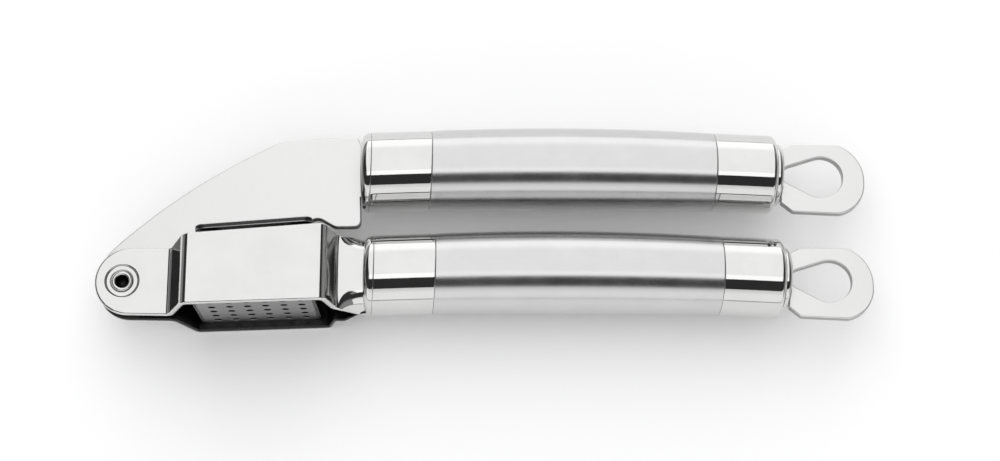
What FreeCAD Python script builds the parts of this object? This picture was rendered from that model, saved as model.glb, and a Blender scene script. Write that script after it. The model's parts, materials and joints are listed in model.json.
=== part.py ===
import FreeCAD, Part

import math
import os

import Sketcher
from FreeCAD import Placement, Rotation, Vector

# A stainless steel garlic press, closed, lying on the far wall of its garlic chamber.
# X runs along the handles towards the hanging loops, Y from the lower lever to the upper one,
# and Z along the pivot rivet. Each sub-part is drawn about the pivot, halfway through the press,
# and its Placement carries it to the part's own origin.

SIZES = {
    # the pivot, from the part's origin, and the two handles, from the pivot
    "pivot_x": -85.8,
    "pivot_y": -14.5,
    "middle_z": 13.7,
    "upper_handle_x": 56.7,
    "upper_handle_y": 27.75,
    "lower_handle_x": 57.7,
    "lower_handle_y": 1.75,
    "handle_slope": -0.69,
    # cheeks: two mirrored stampings that make the ears, the chamber walls and the neck
    "cheek_thickness": 1.5,
    "ear_gap": 3.5,
    "ear_radius": 8.2,
    "ear_middle_x": 1.7,
    "front_bend_angle": 67.5,
    "rear_bend_angle": 74.5,
    "bend_radius": 0.9,
    "chamber_front_x": 15.7,
    "chamber_rear_x": 49.2,
    "neck_start_x": 52.4,
    "neck_half_width": 6.1,
    "neck_start_bulge": 0.3,
    "neck_bulge": 1.4,
    "neck_shoulder": 2.05,
    "neck_shoulder_z": 3.9,
    "neck_edge_gap": 0.02,
    "neck_half_height": 9.25,
    "rim_front_y": 8.75,
    "rim_rear_y": 11.15,
    "wall_front_y": -8.5,
    "wall_rear_y": -7.5,
    "neck_top_y": 10.2,
    "neck_bottom_y": -8.0,
    # pivot rivet and the dimples around it
    "rivet_bore": 1.55,
    "rivet_web": 1.0,
    "rivet_radius": 2.05,
    "rivet_lip_radius": 2.45,
    "dimple_radius": 3.8,
    "dimple_floor_radius": 2.85,
    "dimple_depth": 0.4,
    "dimple_step": 0.1,
    "running_gap": 0.05,
    # sieve basket
    "basket_front_x": 17.5,
    "basket_rear_x": 46.3,
    "basket_half_width": 12.1,
    "basket_wall": 0.8,
    "basket_corner": 2.4,
    "basket_rim_drop": 0.6,
    "sieve_lift": 2.0,
    "sieve_thickness": 0.9,
    "sieve_hole": 0.88,
    "sieve_columns": 6,
    "sieve_rows": 6,
    "sieve_middle_x": 32.2,
    "sieve_column_pitch": 4.28,
    "sieve_row_pitch": 3.75,
    # arm plate
    "arm_thickness": 2.5,
    "arm_heel_x": 3.5,
    "arm_heel_y": -7.2,
    "arm_heel_rise": 0.8,
    "arm_throat_x": 8.2,
    "arm_throat_y": 1.0,
    "arm_chin_x": 12.2,
    "arm_chin_y": 8.3,
    "arm_nose_x": -6.75,
    "arm_nose_rise": 2.6,
    "arm_crown_x": -2.0,
    "arm_crown_y": 9.3,
    "arm_back_rise": 0.9,
    "arm_top_y": 36.5,
    "arm_top_rise": 1.9,
    "arm_end_slant": 0.75,
    "arm_end_rise": 0.25,
    "arm_rim_gap": 0.8,
    "arm_rear_gap": 5.4,
    "arm_rear_reach": 3.2,
    "arm_tab_reach": 1.0,
    "arm_shoulder_x": 37.0,
    "arm_shoulder_y": 35.5,
    "arm_tab_y": 13.8,
    "arm_tab_slant": 0.3,
    "arm_top_round": 3.0,
    "arm_tab_round": 2.5,
    "arm_end_round": 1.8,
    "arm_end_gap": 0.45,
    "tang_length": 11.0,
    "tang_height": 13.0,
    # plunger
    "plunger_pin_x": 31.0,
    "plunger_pin_y": 2.2,
    "plunger_pin_radius": 1.5,
    "pin_boss_radius": 3.5,
    "pin_neck_reach": 6.5,
    "pin_head_radius": 2.4,
    "pin_head_height": 0.7,
    "foot_front_x": 21.2,
    "foot_rear_x": 45.1,
    "foot_half_width": 10.8,
    "foot_thickness": 2.5,
    "foot_gap": 0.5,
    "bracket_gap": 1.5,
    "bracket_sheet": 1.3,
    "flange_front_x": 17.9,
    "flange_rear_x": 45.6,
    "flange_lift": 1.5,
    "flange_corner": 2.5,
    "web_half_length": 9.0,
    # one handle, along its own axis from the face of its front cap
    "front_radius": 9.7,
    "belly_radius": 9.95,
    "rear_radius": 9.45,
    "arch_radius": 1050.0,
    "seam_tilt": 6.0,
    "cap_end": 1.6,
    "front_seam": 16.2,
    "rear_seam": 84.1,
    "tube_end": 98.8,
    "handle_length": 100.4,
    "cap_round": 1.4,
    "shoulder_length": 1.6,
    "disc_seat_depth": 1.5,
    "disc_ledge": 0.6,
    "disc_round": 1.2,
    "tube_wall": 0.9,
    "spigot_length": 5.0,
    "end_disc_radius": 7.7,
    "loop_thickness": 2.5,
    "loop_length": 20.4,
    "loop_tang_length": 4.0,
    "loop_tang_low": -4.5,
    "loop_tang_high": 2.5,
    "loop_face_gap": 0.25,
    "loop_low_y": -9.9,
    "loop_high_y": 7.4,
    "loop_shoulder": 3.0,
    "loop_far_length": 14.3,
    "loop_nose_y": -2.0,
    "loop_low_rise": 1.85,
    "loop_high_rise": 1.8,
    "eye_radius": 5.15,
    "eye_small_radius": 2.5,
    "eye_x": 10.0,
    "eye_small_x": 3.3,
    "eye_y": -0.8,
    "eye_lean": 0.6,
    "seam_chamfer": 0.12,
}

doc = FreeCAD.newDocument("garlic_press")
sheet = doc.addObject("Spreadsheet::Sheet", "Sizes")
for row, (alias, number) in enumerate(SIZES.items(), start=1):
    sheet.set(f"A{row}", alias.replace("_", " "))
    sheet.set(f"B{row}", str(number))
    sheet.setAlias(f"B{row}", alias)
doc.recompute()

PIVOT_FRAME = ("Sizes.pivot_x", "Sizes.pivot_y", "Sizes.middle_z")
subparts = []


def value(expression):
    """The number that a sheet expression, or a plain number, stands for."""
    if isinstance(expression, (int, float)):
        return float(expression)
    return float(sheet.evalExpression(expression))


def bind(thing, **expressions):
    """Tie properties of a feature to the sheet; a double underscore stands for a dot."""
    for name, expression in expressions.items():
        if isinstance(expression, str):
            thing.setExpression(name.replace("__", "."), expression)
        else:
            setattr(thing, name, expression)


def new_body(label, place=PIVOT_FRAME, slope=None):
    """A sub-part that is drawn in its own frame and put in place by its Placement."""
    body = doc.addObject("PartDesign::Body", label)
    body.Label = label
    if slope:
        body.Placement = Placement(Vector(), Rotation(Vector(0, 0, 1), value(slope)))
        bind(body, Placement__Rotation__Angle=slope)
    for axis, expression in zip("xyz", place):
        body.setExpression(f"Placement.Base.{axis}", expression)
    subparts.append(body)
    return body


def origin_plane(body, role):
    return next(item for item in body.Origin.OriginFeatures if item.Role == role)


def new_sketch(body, role, lift=None, tilt=None, slope=None):
    """A sketch on one of the body's own planes, lifted along and turned about its axes."""
    sketch = body.newObject("Sketcher::SketchObject", f"{body.Name}_sketch")
    sketch.AttachmentSupport = [(origin_plane(body, role), "")]
    sketch.MapMode = "FlatFace"
    turn = Rotation(0, value(slope or 0), value(tilt or 0))
    sketch.AttachmentOffset = Placement(Vector(), turn)
    if lift is not None:
        bind(sketch, AttachmentOffset__Base__z=str(lift))
    return sketch


def pin_point(sketch, edge, point, spot):
    """Hold one point of an edge at a place given by two expressions."""
    for kind, expression in zip(("DistanceX", "DistanceY"), spot):
        number = sketch.addConstraint(Sketcher.Constraint(kind, -1, 1, edge, point, value(expression)))
        if isinstance(expression, str):
            sketch.setExpression(f"Constraints[{number}]", expression)


def draw_circle(sketch, spot, radius):
    centre = Vector(value(spot[0]), value(spot[1]), 0)
    edge = sketch.addGeometry(Part.Circle(centre, Vector(0, 0, 1), value(radius)))
    pin_point(sketch, edge, 3, spot)
    number = sketch.addConstraint(Sketcher.Constraint("Radius", edge, value(radius)))
    if isinstance(radius, str):
        sketch.setExpression(f"Constraints[{number}]", radius)


def draw_outline(sketch, corners):
    """A closed outline. A corner is its two places and, where an arc leads on, the arc's rise."""
    spots = [Vector(value(corner[0]), value(corner[1]), 0) for corner in corners]
    for index, corner in enumerate(corners):
        start = spots[index]
        end = spots[(index + 1) % len(spots)]
        if len(corner) == 2:
            edge = sketch.addGeometry(Part.LineSegment(start, end))
            pin_point(sketch, edge, 1, corner[:2])
            pin_point(sketch, edge, 2, corners[(index + 1) % len(corners)][:2])
            continue
        chord = end - start
        rise = Vector(chord.y, -chord.x, 0).normalize() * value(corner[2])
        ends = (start, end) if value(corner[2]) > 0 else (end, start)
        edge = sketch.addGeometry(Part.Arc(ends[0], (start + end) / 2 + rise, ends[1]))
        first, last = (1, 2) if value(corner[2]) > 0 else (2, 1)
        pin_point(sketch, edge, first, corner[:2])
        pin_point(sketch, edge, last, corners[(index + 1) % len(corners)][:2])
        centre = sketch.Geometry[edge].Center
        across = ("DistanceX", centre.x) if abs(chord.y) > abs(chord.x) else ("DistanceY", centre.y)
        sketch.addConstraint(Sketcher.Constraint(across[0], -1, 1, edge, 3, across[1]))


def grow(body, kind, sketch, both_ways=False, **settings):
    """Add one feature made from a sketch to a body and check that it changed the solid."""
    before = body.Shape.Volume if not body.Shape.isNull() else 0.0
    feature = body.newObject(f"PartDesign::{kind}", f"{body.Name}_{kind}")
    feature.Profile = sketch
    if both_ways:
        feature.SideType = "Symmetric"
    bind(feature, **settings)
    doc.recompute()
    change = body.Shape.Volume - before
    wrong_way = change >= 0 if kind in ("Pocket", "SubtractiveLoft") else change <= 0
    if wrong_way:
        raise RuntimeError(f"{feature.Name} in {body.Label} changed the volume by {change:.3f}")
    return feature


def loft(body, kind, sketches):
    """A smooth solid, added or taken away, through a row of sketches."""
    return grow(body, kind, sketches[0], Sections=[(item, [""]) for item in sketches[1:]])


def edges_where(shape, test):
    """The names of the edges whose middle, straight or curved, passes a test."""
    names = []
    for index, edge in enumerate(shape.Edges, start=1):
        middle = edge.valueAt((edge.FirstParameter + edge.LastParameter) / 2)
        if test(edge, middle):
            names.append(f"Edge{index}")
    return names


def soften(body, radius, test):
    """Round the edges of a body's last feature that pass a test."""
    base = body.Tip
    names = edges_where(base.Shape, test)
    if not names:
        raise RuntimeError(f"no edge of {body.Label} to round")
    feature = body.newObject("PartDesign::Fillet", f"{body.Name}_round")
    feature.Base = (base, names)
    bind(feature, Radius=radius)
    doc.recompute()
    if not feature.Shape.isValid():
        raise RuntimeError(f"{feature.Name} in {body.Label} is not valid")


def runs_along(edge, axis):
    """Whether an edge is a straight line along an axis."""
    if edge.Curve.TypeId != "Part::GeomLine":
        return False
    return abs(abs(edge.tangentAt(edge.FirstParameter).dot(axis)) - 1) < 1e-6


def mirrored(label, source):
    """The same stamping on the far side of the press."""
    twin = doc.addObject("Part::Mirroring", label)
    twin.Label = label
    twin.Source = source
    twin.Normal = Vector(0, 0, 1)
    twin.setExpression("Base.z", "Sizes.middle_z")
    subparts.append(twin)
    return twin


# ---------------------------------------------------------------- lower lever: the two cheeks


def chamber_line(front, rear, lift=0.0):
    """Height, as an expression of x, of a line that runs along the chamber from front to rear."""
    run = "(Sizes.chamber_rear_x - Sizes.chamber_front_x)"
    rise = f"(Sizes.{rear} - Sizes.{front}) / {run}"
    return lambda x: f"Sizes.{front} + ({x} - Sizes.chamber_front_x) * {rise} + {lift}"


rim_line = chamber_line("rim_front_y", "rim_rear_y")
foot_line = chamber_line("wall_front_y", "wall_rear_y")


def cheek_plan():
    """The bent sheet seen from above: outer side going back, inner side coming forward."""
    half_width = "Sizes.middle_z"
    ear_face = "(Sizes.ear_gap / 2 + Sizes.cheek_thickness)"
    neck_face = "Sizes.neck_half_width"
    front_run = f"({half_width} - {ear_face}) / tan(Sizes.front_bend_angle * 1 deg)"
    rear_run = f"({half_width} - {neck_face}) / tan(Sizes.rear_bend_angle * 1 deg)"
    front_ear_x = f"(Sizes.chamber_front_x - {front_run})"
    rear_neck_x = f"(Sizes.chamber_rear_x + {rear_run})"
    front_shift = "Sizes.cheek_thickness * tan(Sizes.front_bend_angle * 0.5 deg)"
    rear_shift = "Sizes.cheek_thickness * tan(Sizes.rear_bend_angle * 0.5 deg)"
    outer = [
        ("-2 * Sizes.ear_radius", ear_face),
        (front_ear_x, ear_face),
        ("Sizes.chamber_front_x", half_width),
        ("Sizes.chamber_rear_x", half_width),
        (rear_neck_x, neck_face),
        ("Sizes.neck_start_x", neck_face),
    ]
    shifts = ["0", front_shift, front_shift, f"-{rear_shift}", f"-{rear_shift}", "0"]
    inner = [(f"{x} + {shift}", f"{z} - Sizes.cheek_thickness") for (x, z), shift in zip(outer, shifts)]
    return outer + inner[::-1]


def cheek_outline():
    """The cheek seen from the side, counter-clockwise from the front of its lower edge."""
    return [
        ("Sizes.ear_middle_x", "-Sizes.ear_radius"),
        ("Sizes.chamber_front_x", "Sizes.wall_front_y"),
        ("Sizes.chamber_rear_x", "Sizes.wall_rear_y"),
        ("Sizes.neck_start_x", "Sizes.neck_bottom_y"),
        ("Sizes.neck_start_x", "Sizes.neck_top_y"),
        ("Sizes.chamber_rear_x - 1", rim_line("Sizes.chamber_rear_x - 1")),
        ("Sizes.chamber_front_x + 1", rim_line("Sizes.chamber_front_x + 1")),
        ("Sizes.chamber_front_x - 4", "Sizes.ear_radius"),
        ("Sizes.ear_middle_x", "Sizes.ear_radius", "Sizes.ear_radius"),
    ]


def neck_section(body, lift, turn, ends, edge, shoulder, bulge):
    """The neck's near half cut across: a bowed face between two shoulders, its edges turned in."""
    sketch = new_sketch(body, "YZ_Plane", lift, *turn)
    low, high = ends
    sheet_thickness = "Sizes.cheek_thickness"
    reach = "Sizes.neck_shoulder"
    inner_reach = f"({reach} + {sheet_thickness} / 2)"
    inset = f"{sheet_thickness} * 0.75"
    outer_edge, inner_edge = edge
    draw_outline(sketch, [
        (low, outer_edge),
        (f"{low} + {reach}", shoulder, f"-{bulge}"),
        (f"{high} - {reach}", shoulder),
        (high, outer_edge),
        (f"{high} - {inset}", inner_edge),
        (f"{high} - {inner_reach}", f"{shoulder} - {sheet_thickness}", bulge),
        (f"{low} + {inner_reach}", f"{shoulder} - {sheet_thickness}"),
        (f"{low} + {inset}", inner_edge),
    ])
    return sketch


def make_near_cheek():
    body = new_body("near_cheek")
    plan = new_sketch(body, "XZ_Plane")
    draw_outline(plan, cheek_plan())
    grow(body, "Pad", plan, Length="6 * Sizes.ear_radius", both_ways=True)

    bend_edges = [(value(x), value(z)) for x, z in cheek_plan()]
    inside = (bend_edges[1], bend_edges[9], bend_edges[8], bend_edges[4])
    outside = (bend_edges[10], bend_edges[2], bend_edges[3], bend_edges[7])
    for spots, radius in (
        (inside, "Sizes.bend_radius"),
        (outside, "Sizes.bend_radius + Sizes.cheek_thickness"),
    ):
        soften(body, radius, lambda edge, middle: runs_along(edge, Vector(0, 1, 0)) and any(
            math.hypot(middle.x - x, middle.z - z) < 0.01 for x, z in spots))

    trim = new_sketch(body, "XY_Plane")
    far = "5 * Sizes.ear_radius"
    beyond = "Sizes.neck_start_x + 20"
    draw_outline(trim, [(f"-{far}", f"-{far}"), (beyond, f"-{far}"), (beyond, far), (f"-{far}", far)])
    draw_outline(trim, cheek_outline())
    grow(body, "Pocket", trim, Length="6 * Sizes.middle_z", both_ways=True)

    face = "Sizes.neck_half_width"
    neck_start = neck_section(
        body, "Sizes.neck_start_x", (),
        ("Sizes.neck_bottom_y", "Sizes.neck_top_y"),
        (face, f"{face} - Sizes.cheek_thickness"), face, "Sizes.neck_start_bulge")
    # the end lies in the cap's face, which slopes about the handle's axis and not about the pivot
    cap_face_x = "Sizes.lower_handle_x + Sizes.lower_handle_y * tan(Sizes.handle_slope * 1 deg)"
    neck_end = neck_section(
        body, cap_face_x, ("0", "Sizes.handle_slope"),
        ("Sizes.lower_handle_y - Sizes.neck_half_height", "Sizes.lower_handle_y + Sizes.neck_half_height"),
        ("Sizes.neck_edge_gap", "Sizes.neck_edge_gap"), "Sizes.neck_shoulder_z", "Sizes.neck_bulge")
    loft(body, "AdditiveLoft", [neck_start, neck_end])

    boss = new_sketch(body, "XY_Plane", "Sizes.ear_gap / 2 - Sizes.dimple_depth")
    draw_circle(boss, (0, 0), "Sizes.dimple_radius - 3 * Sizes.dimple_step")
    grow(body, "Pad", boss, Length="Sizes.dimple_depth + 2 * Sizes.dimple_step")
    recess = new_sketch(body, "XY_Plane", "Sizes.ear_gap / 2 + Sizes.cheek_thickness")
    draw_circle(recess, (0, 0), "Sizes.dimple_radius")
    grow(body, "Pocket", recess, Length="Sizes.dimple_depth / 2", Reversed=False)
    seat = new_sketch(body, "XY_Plane", "Sizes.ear_gap / 2 + Sizes.cheek_thickness")
    draw_circle(seat, (0, 0), "Sizes.dimple_floor_radius")
    grow(body, "Pocket", seat, Length="Sizes.dimple_depth + Sizes.dimple_step", Reversed=False)
    hole = new_sketch(body, "XY_Plane")
    draw_circle(hole, (0, 0), "Sizes.rivet_radius")
    grow(body, "Pocket", hole, Length="4 * Sizes.ear_gap", both_ways=True)
    return body


# ---------------------------------------------------------------- lower lever: the sieve basket


def basket_block(body, kind, inset, floor, head):
    """A block that follows the sloping chamber, or the hollow inside it."""
    front = f"Sizes.basket_front_x + {inset}"
    rear = f"Sizes.basket_rear_x - {inset}"
    sketch = new_sketch(body, "XY_Plane")
    draw_outline(sketch, [
        (front, f"{foot_line(front)} + {floor}"),
        (rear, f"{foot_line(rear)} + {floor}"),
        (rear, f"{rim_line(rear)} + {head}"),
        (front, f"{rim_line(front)} + {head}"),
    ])
    grow(body, kind, sketch, Length=f"2 * (Sizes.basket_half_width - {inset})", both_ways=True)
    corners = [value(front), value(rear)]
    half_width = value(f"Sizes.basket_half_width - {inset}")
    soften(body, f"Sizes.basket_corner - {inset}", lambda edge, middle: (
        runs_along(edge, Vector(0, 1, 0))
        and min(abs(middle.x - x) for x in corners) < 0.01
        and abs(abs(middle.z) - half_width) < 0.01))


def make_sieve_basket():
    body = new_body("sieve_basket")
    basket_block(body, "Pad", "0", "Sizes.sieve_lift", "-Sizes.basket_rim_drop")
    basket_block(body, "Pocket", "Sizes.basket_wall", "(Sizes.sieve_lift + Sizes.sieve_thickness)", "5")

    hole = new_sketch(body, "XZ_Plane")
    sieve_length = "(Sizes.sieve_columns - 1) * Sizes.sieve_column_pitch"
    first_x = f"Sizes.sieve_middle_x - {sieve_length} / 2"
    first_z = "-(Sizes.sieve_rows - 1) * Sizes.sieve_row_pitch / 2"
    draw_circle(hole, (first_x, first_z), "Sizes.sieve_hole")
    pierce = grow(body, "Pocket", hole, Length="4 * Sizes.ear_radius", Reversed=True)
    one_hole = body.Shape.Volume
    pattern = body.newObject("PartDesign::LinearPattern", "sieve_holes")
    pattern.Originals = [pierce]
    pattern.Direction = (hole, ["H_Axis"])
    pattern.Direction2 = (hole, ["V_Axis"])
    bind(
        pattern,
        Length=sieve_length,
        Length2="(Sizes.sieve_rows - 1) * Sizes.sieve_row_pitch",
        Occurrences="Sizes.sieve_columns",
        Occurrences2="Sizes.sieve_rows",
    )
    body.Tip = pattern
    doc.recompute()
    if body.Shape.Volume >= one_hole:
        raise RuntimeError("the sieve's holes were not repeated")
    return body


# ---------------------------------------------------------------- the pivot


def make_pivot_rivet():
    """A rivet bored from both ends up to a web, with a rolled lip at each end."""
    body = new_body("pivot_rivet")
    sketch = new_sketch(body, "XZ_Plane")
    seat = "(Sizes.ear_gap / 2 + Sizes.cheek_thickness - Sizes.dimple_depth - Sizes.dimple_step)"
    lip = "(Sizes.rivet_lip_radius - Sizes.rivet_bore) / 2"
    draw_outline(sketch, [
        ("Sizes.rivet_bore", f"-{seat}", lip),
        ("Sizes.rivet_lip_radius", f"-{seat}"),
        ("Sizes.rivet_radius", f"-{seat}"),
        ("Sizes.rivet_radius", seat),
        ("Sizes.rivet_lip_radius", seat, lip),
        ("Sizes.rivet_bore", seat),
        ("Sizes.rivet_bore", "Sizes.rivet_web / 2"),
        ("0", "Sizes.rivet_web / 2"),
        ("0", "-Sizes.rivet_web / 2"),
        ("Sizes.rivet_bore", "-Sizes.rivet_web / 2"),
    ])
    grow(body, "Revolution", sketch, Angle=360.0, ReferenceAxis=(sketch, ["V_Axis"]))
    return body


# ---------------------------------------------------------------- upper lever: the arm plate


def arm_outline():
    """The arm seen from the side, counter-clockwise from its heel, and the corners to round."""
    end_x = "Sizes.upper_handle_x - Sizes.arm_end_gap"
    tang_x = "Sizes.upper_handle_x + Sizes.tang_length"
    tang_low = "Sizes.upper_handle_y - Sizes.tang_height / 2"
    tang_high = "Sizes.upper_handle_y + Sizes.tang_height / 2"
    front_x = "Sizes.basket_front_x"
    before_pin = "Sizes.plunger_pin_x - Sizes.pin_neck_reach"
    after_pin = "Sizes.plunger_pin_x + Sizes.pin_neck_reach"
    rear_x = "Sizes.chamber_rear_x - Sizes.arm_rear_reach"
    throat = (rear_x, f"{rim_line(rear_x)} + Sizes.arm_rear_gap")
    tab_front = ("Sizes.chamber_rear_x + Sizes.arm_tab_reach", "Sizes.arm_tab_y")
    tab_rear = (f"{end_x} + Sizes.arm_tab_slant", "Sizes.arm_tab_y")
    top_rear = (f"{end_x} - Sizes.arm_end_slant", "Sizes.arm_top_y")
    shoulder = ("Sizes.arm_shoulder_x", "Sizes.arm_shoulder_y")
    outline = [
        ("Sizes.arm_heel_x", "Sizes.arm_heel_y", "Sizes.arm_heel_rise"),
        ("Sizes.arm_throat_x", "Sizes.arm_throat_y"),
        ("Sizes.arm_chin_x", "Sizes.arm_chin_y"),
        (front_x, f"{rim_line(front_x)} + 1.5 * Sizes.arm_rim_gap"),
        (before_pin, f"{rim_line(before_pin)} + Sizes.arm_rim_gap"),
        ("Sizes.plunger_pin_x - Sizes.pin_boss_radius", "Sizes.plunger_pin_y", "Sizes.pin_boss_radius"),
        ("Sizes.plunger_pin_x + Sizes.pin_boss_radius", "Sizes.plunger_pin_y"),
        (after_pin, f"{rim_line(after_pin)} + Sizes.arm_rim_gap"),
        throat,
        tab_front,
        tab_rear,
        (end_x, tang_low),
        (tang_x, tang_low),
        (tang_x, tang_high),
        (end_x, tang_high),
        (*top_rear, "Sizes.arm_end_rise"),
        (*shoulder, "Sizes.arm_top_rise"),
        ("Sizes.arm_crown_x", "Sizes.arm_crown_y", "Sizes.arm_back_rise"),
        ("Sizes.arm_nose_x", "0", "Sizes.arm_nose_rise"),
    ]
    rounds = {
        "Sizes.arm_end_round": (tab_rear, top_rear),
        "Sizes.arm_tab_round": (throat, tab_front),
        "Sizes.arm_top_round": (shoulder,),
    }
    return outline, rounds


def make_arm_plate():
    body = new_body("arm_plate")
    outline, rounds = arm_outline()
    sketch = new_sketch(body, "XY_Plane")
    draw_outline(sketch, outline)
    draw_circle(sketch, (0, 0), "Sizes.rivet_radius + Sizes.running_gap")
    pin = ("Sizes.plunger_pin_x", "Sizes.plunger_pin_y")
    draw_circle(sketch, pin, "Sizes.plunger_pin_radius + Sizes.running_gap")
    grow(body, "Pad", sketch, Length="Sizes.arm_thickness", both_ways=True)
    for radius, corners in rounds.items():
        spots = [(value(x), value(y)) for x, y in corners]
        soften(body, radius, lambda edge, middle: runs_along(edge, Vector(0, 0, 1)) and any(
            math.hypot(middle.x - x, middle.y - y) < 0.01 for x, y in spots))
    return body


# ---------------------------------------------------------------- plunger


def lying_plate(body, ends, line, lift, thickness, reach):
    """A flat plate, parallel to a line along the chamber; reach is where it starts and stops in z."""
    sketch = new_sketch(body, "XY_Plane", reach[0])
    front, rear = ends
    draw_outline(sketch, [
        (front, f"{line(front)} + {lift}"),
        (rear, f"{line(rear)} + {lift}"),
        (rear, f"{line(rear)} + {lift} + {thickness}"),
        (front, f"{line(front)} + {lift} + {thickness}"),
    ])
    return grow(body, "Pad", sketch, Length=reach[1])


FOOT_ENDS = ("Sizes.foot_front_x", "Sizes.foot_rear_x")
FOOT_LIFT = "(Sizes.sieve_lift + Sizes.sieve_thickness + Sizes.foot_gap)"
FLANGE_ENDS = ("Sizes.flange_front_x", "Sizes.flange_rear_x")


def make_plunger_foot():
    """The plate that presses the garlic through the sieve."""
    body = new_body("plunger_foot")
    reach = ("-Sizes.foot_half_width", "2 * Sizes.foot_half_width")
    lying_plate(body, FOOT_ENDS, foot_line, FOOT_LIFT, "Sizes.foot_thickness", reach)
    ends = [value(x) for x in FOOT_ENDS]
    soften(body, "Sizes.basket_corner - Sizes.basket_wall", lambda edge, middle: (
        runs_along(edge, Vector(0, 1, 0)) and min(abs(middle.x - x) for x in ends) < 0.01))
    return body


def make_near_bracket():
    """A folded sheet between arm and foot: foot flange, upright web and top flange."""
    body = new_body("near_plunger_bracket")
    web_z = "Sizes.bracket_gap"
    foot_lift = f"({FOOT_LIFT} + Sizes.foot_thickness)"
    web = new_sketch(body, "XY_Plane", web_z)
    ends = (
        "Sizes.plunger_pin_x - Sizes.web_half_length",
        "Sizes.plunger_pin_x + Sizes.web_half_length",
    )
    web_front = f"{FLANGE_ENDS[0]} + 2 * Sizes.flange_corner"
    web_rear = f"{FLANGE_ENDS[1]} - 2 * Sizes.flange_corner"
    draw_outline(web, [
        (ends[0], f"{foot_line(ends[0])} + {foot_lift}"),
        (ends[1], f"{foot_line(ends[1])} + {foot_lift}"),
        (web_rear, f"{rim_line(web_rear)} + Sizes.flange_lift"),
        (web_front, f"{rim_line(web_front)} + Sizes.flange_lift"),
    ])
    grow(body, "Pad", web, Length="Sizes.bracket_sheet")
    top_reach = (web_z, f"Sizes.foot_half_width - {web_z}")
    lying_plate(body, FLANGE_ENDS, rim_line, "Sizes.flange_lift", "Sizes.bracket_sheet", top_reach)
    foot_reach = (web_z, f"Sizes.foot_half_width - 2 * {web_z}")
    lying_plate(body, ends, foot_line, foot_lift, "Sizes.bracket_sheet", foot_reach)
    flange_ends = [value(x) for x in FLANGE_ENDS]
    flange_edge = value("Sizes.foot_half_width")
    soften(body, "Sizes.flange_corner", lambda edge, middle: (
        runs_along(edge, Vector(0, 1, 0))
        and min(abs(middle.x - x) for x in flange_ends) < 0.01
        and abs(middle.z - flange_edge) < 0.01))
    hole = new_sketch(body, "XY_Plane")
    draw_circle(hole, ("Sizes.plunger_pin_x", "Sizes.plunger_pin_y"), "Sizes.plunger_pin_radius")
    grow(body, "Pocket", hole, Length="4 * Sizes.ear_gap", both_ways=True)
    return body


def make_plunger_pin():
    """A headed pin that carries the plunger in the arm plate."""
    body = new_body("plunger_pin")
    outer = "(Sizes.bracket_gap + Sizes.bracket_sheet)"
    spot = ("Sizes.plunger_pin_x", "Sizes.plunger_pin_y")
    shank = new_sketch(body, "XY_Plane")
    draw_circle(shank, spot, "Sizes.plunger_pin_radius")
    grow(body, "Pad", shank, Length=f"2 * {outer}", both_ways=True)
    for lift in (outer, f"-{outer} - Sizes.pin_head_height"):
        head = new_sketch(body, "XY_Plane", lift)
        draw_circle(head, spot, "Sizes.pin_head_radius")
        grow(body, "Pad", head, Length="Sizes.pin_head_height")
    return body


# ---------------------------------------------------------------- the two handles


def arch(station):
    """How far the handle's axis stands above its chord at a station along it."""
    half = "Sizes.handle_length / 2"
    drop = f"sqrt(Sizes.arch_radius ^ 2 - ({station} - {half}) ^ 2)"
    return f"({drop} - sqrt(Sizes.arch_radius ^ 2 - ({half}) ^ 2))"


def ring(body, station, radius, tilt="Sizes.seam_tilt"):
    """A round section of a handle. The joints between its pieces lean by the seam's tilt."""
    sketch = new_sketch(body, "YZ_Plane", station, tilt)
    draw_circle(sketch, (arch(station), 0), radius)
    return sketch


def tube_piece(body, kind, stations, radii):
    return loft(body, kind, [ring(body, *pair) for pair in zip(stations, radii)])


def bevelled_piece(body, stations, radii):
    """A length of tube whose two seam edges are bevelled, so that each joint shows as a line."""
    bevel = "Sizes.seam_chamfer"
    first, last = stations[0], stations[-1]
    after_first, before_last = f"{first} + {bevel}", f"{last} - {bevel}"
    tube_piece(body, "AdditiveLoft", (first, after_first), (f"{radii[0]} - {bevel}", radii[0]))
    middle = (after_first, *stations[1:-1], before_last)
    tube_piece(body, "AdditiveLoft", middle, radii)
    tube_piece(body, "AdditiveLoft", (before_last, last), (radii[-1], f"{radii[-1]} - {bevel}"))


def soften_rim(body, amount, station, radius):
    """Round the circle of a given radius at a station."""
    spot = value(station)

    def on_rim(edge, middle):
        if edge.Curve.TypeId != "Part::GeomCircle" and not edge.isClosed():
            return False
        box = edge.BoundBox
        middle_x = (box.XMin + box.XMax) / 2
        return abs(middle_x - spot) < 0.05 and abs(box.YLength / 2 - value(radius)) < 0.06

    soften(body, amount, on_rim)


def slot_through(body, height, thickness, middle_y):
    """A slot along the handle for a tang."""
    sketch = new_sketch(body, "YZ_Plane")
    half_height = f"({height}) / 2"
    half_thickness = f"({thickness}) / 2"
    draw_outline(sketch, [
        (f"{middle_y} - {half_height}", f"-{half_thickness}"),
        (f"{middle_y} + {half_height}", f"-{half_thickness}"),
        (f"{middle_y} + {half_height}", half_thickness),
        (f"{middle_y} - {half_height}", half_thickness),
    ])
    return grow(body, "Pocket", sketch, Length="3 * Sizes.handle_length", both_ways=True)


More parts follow.
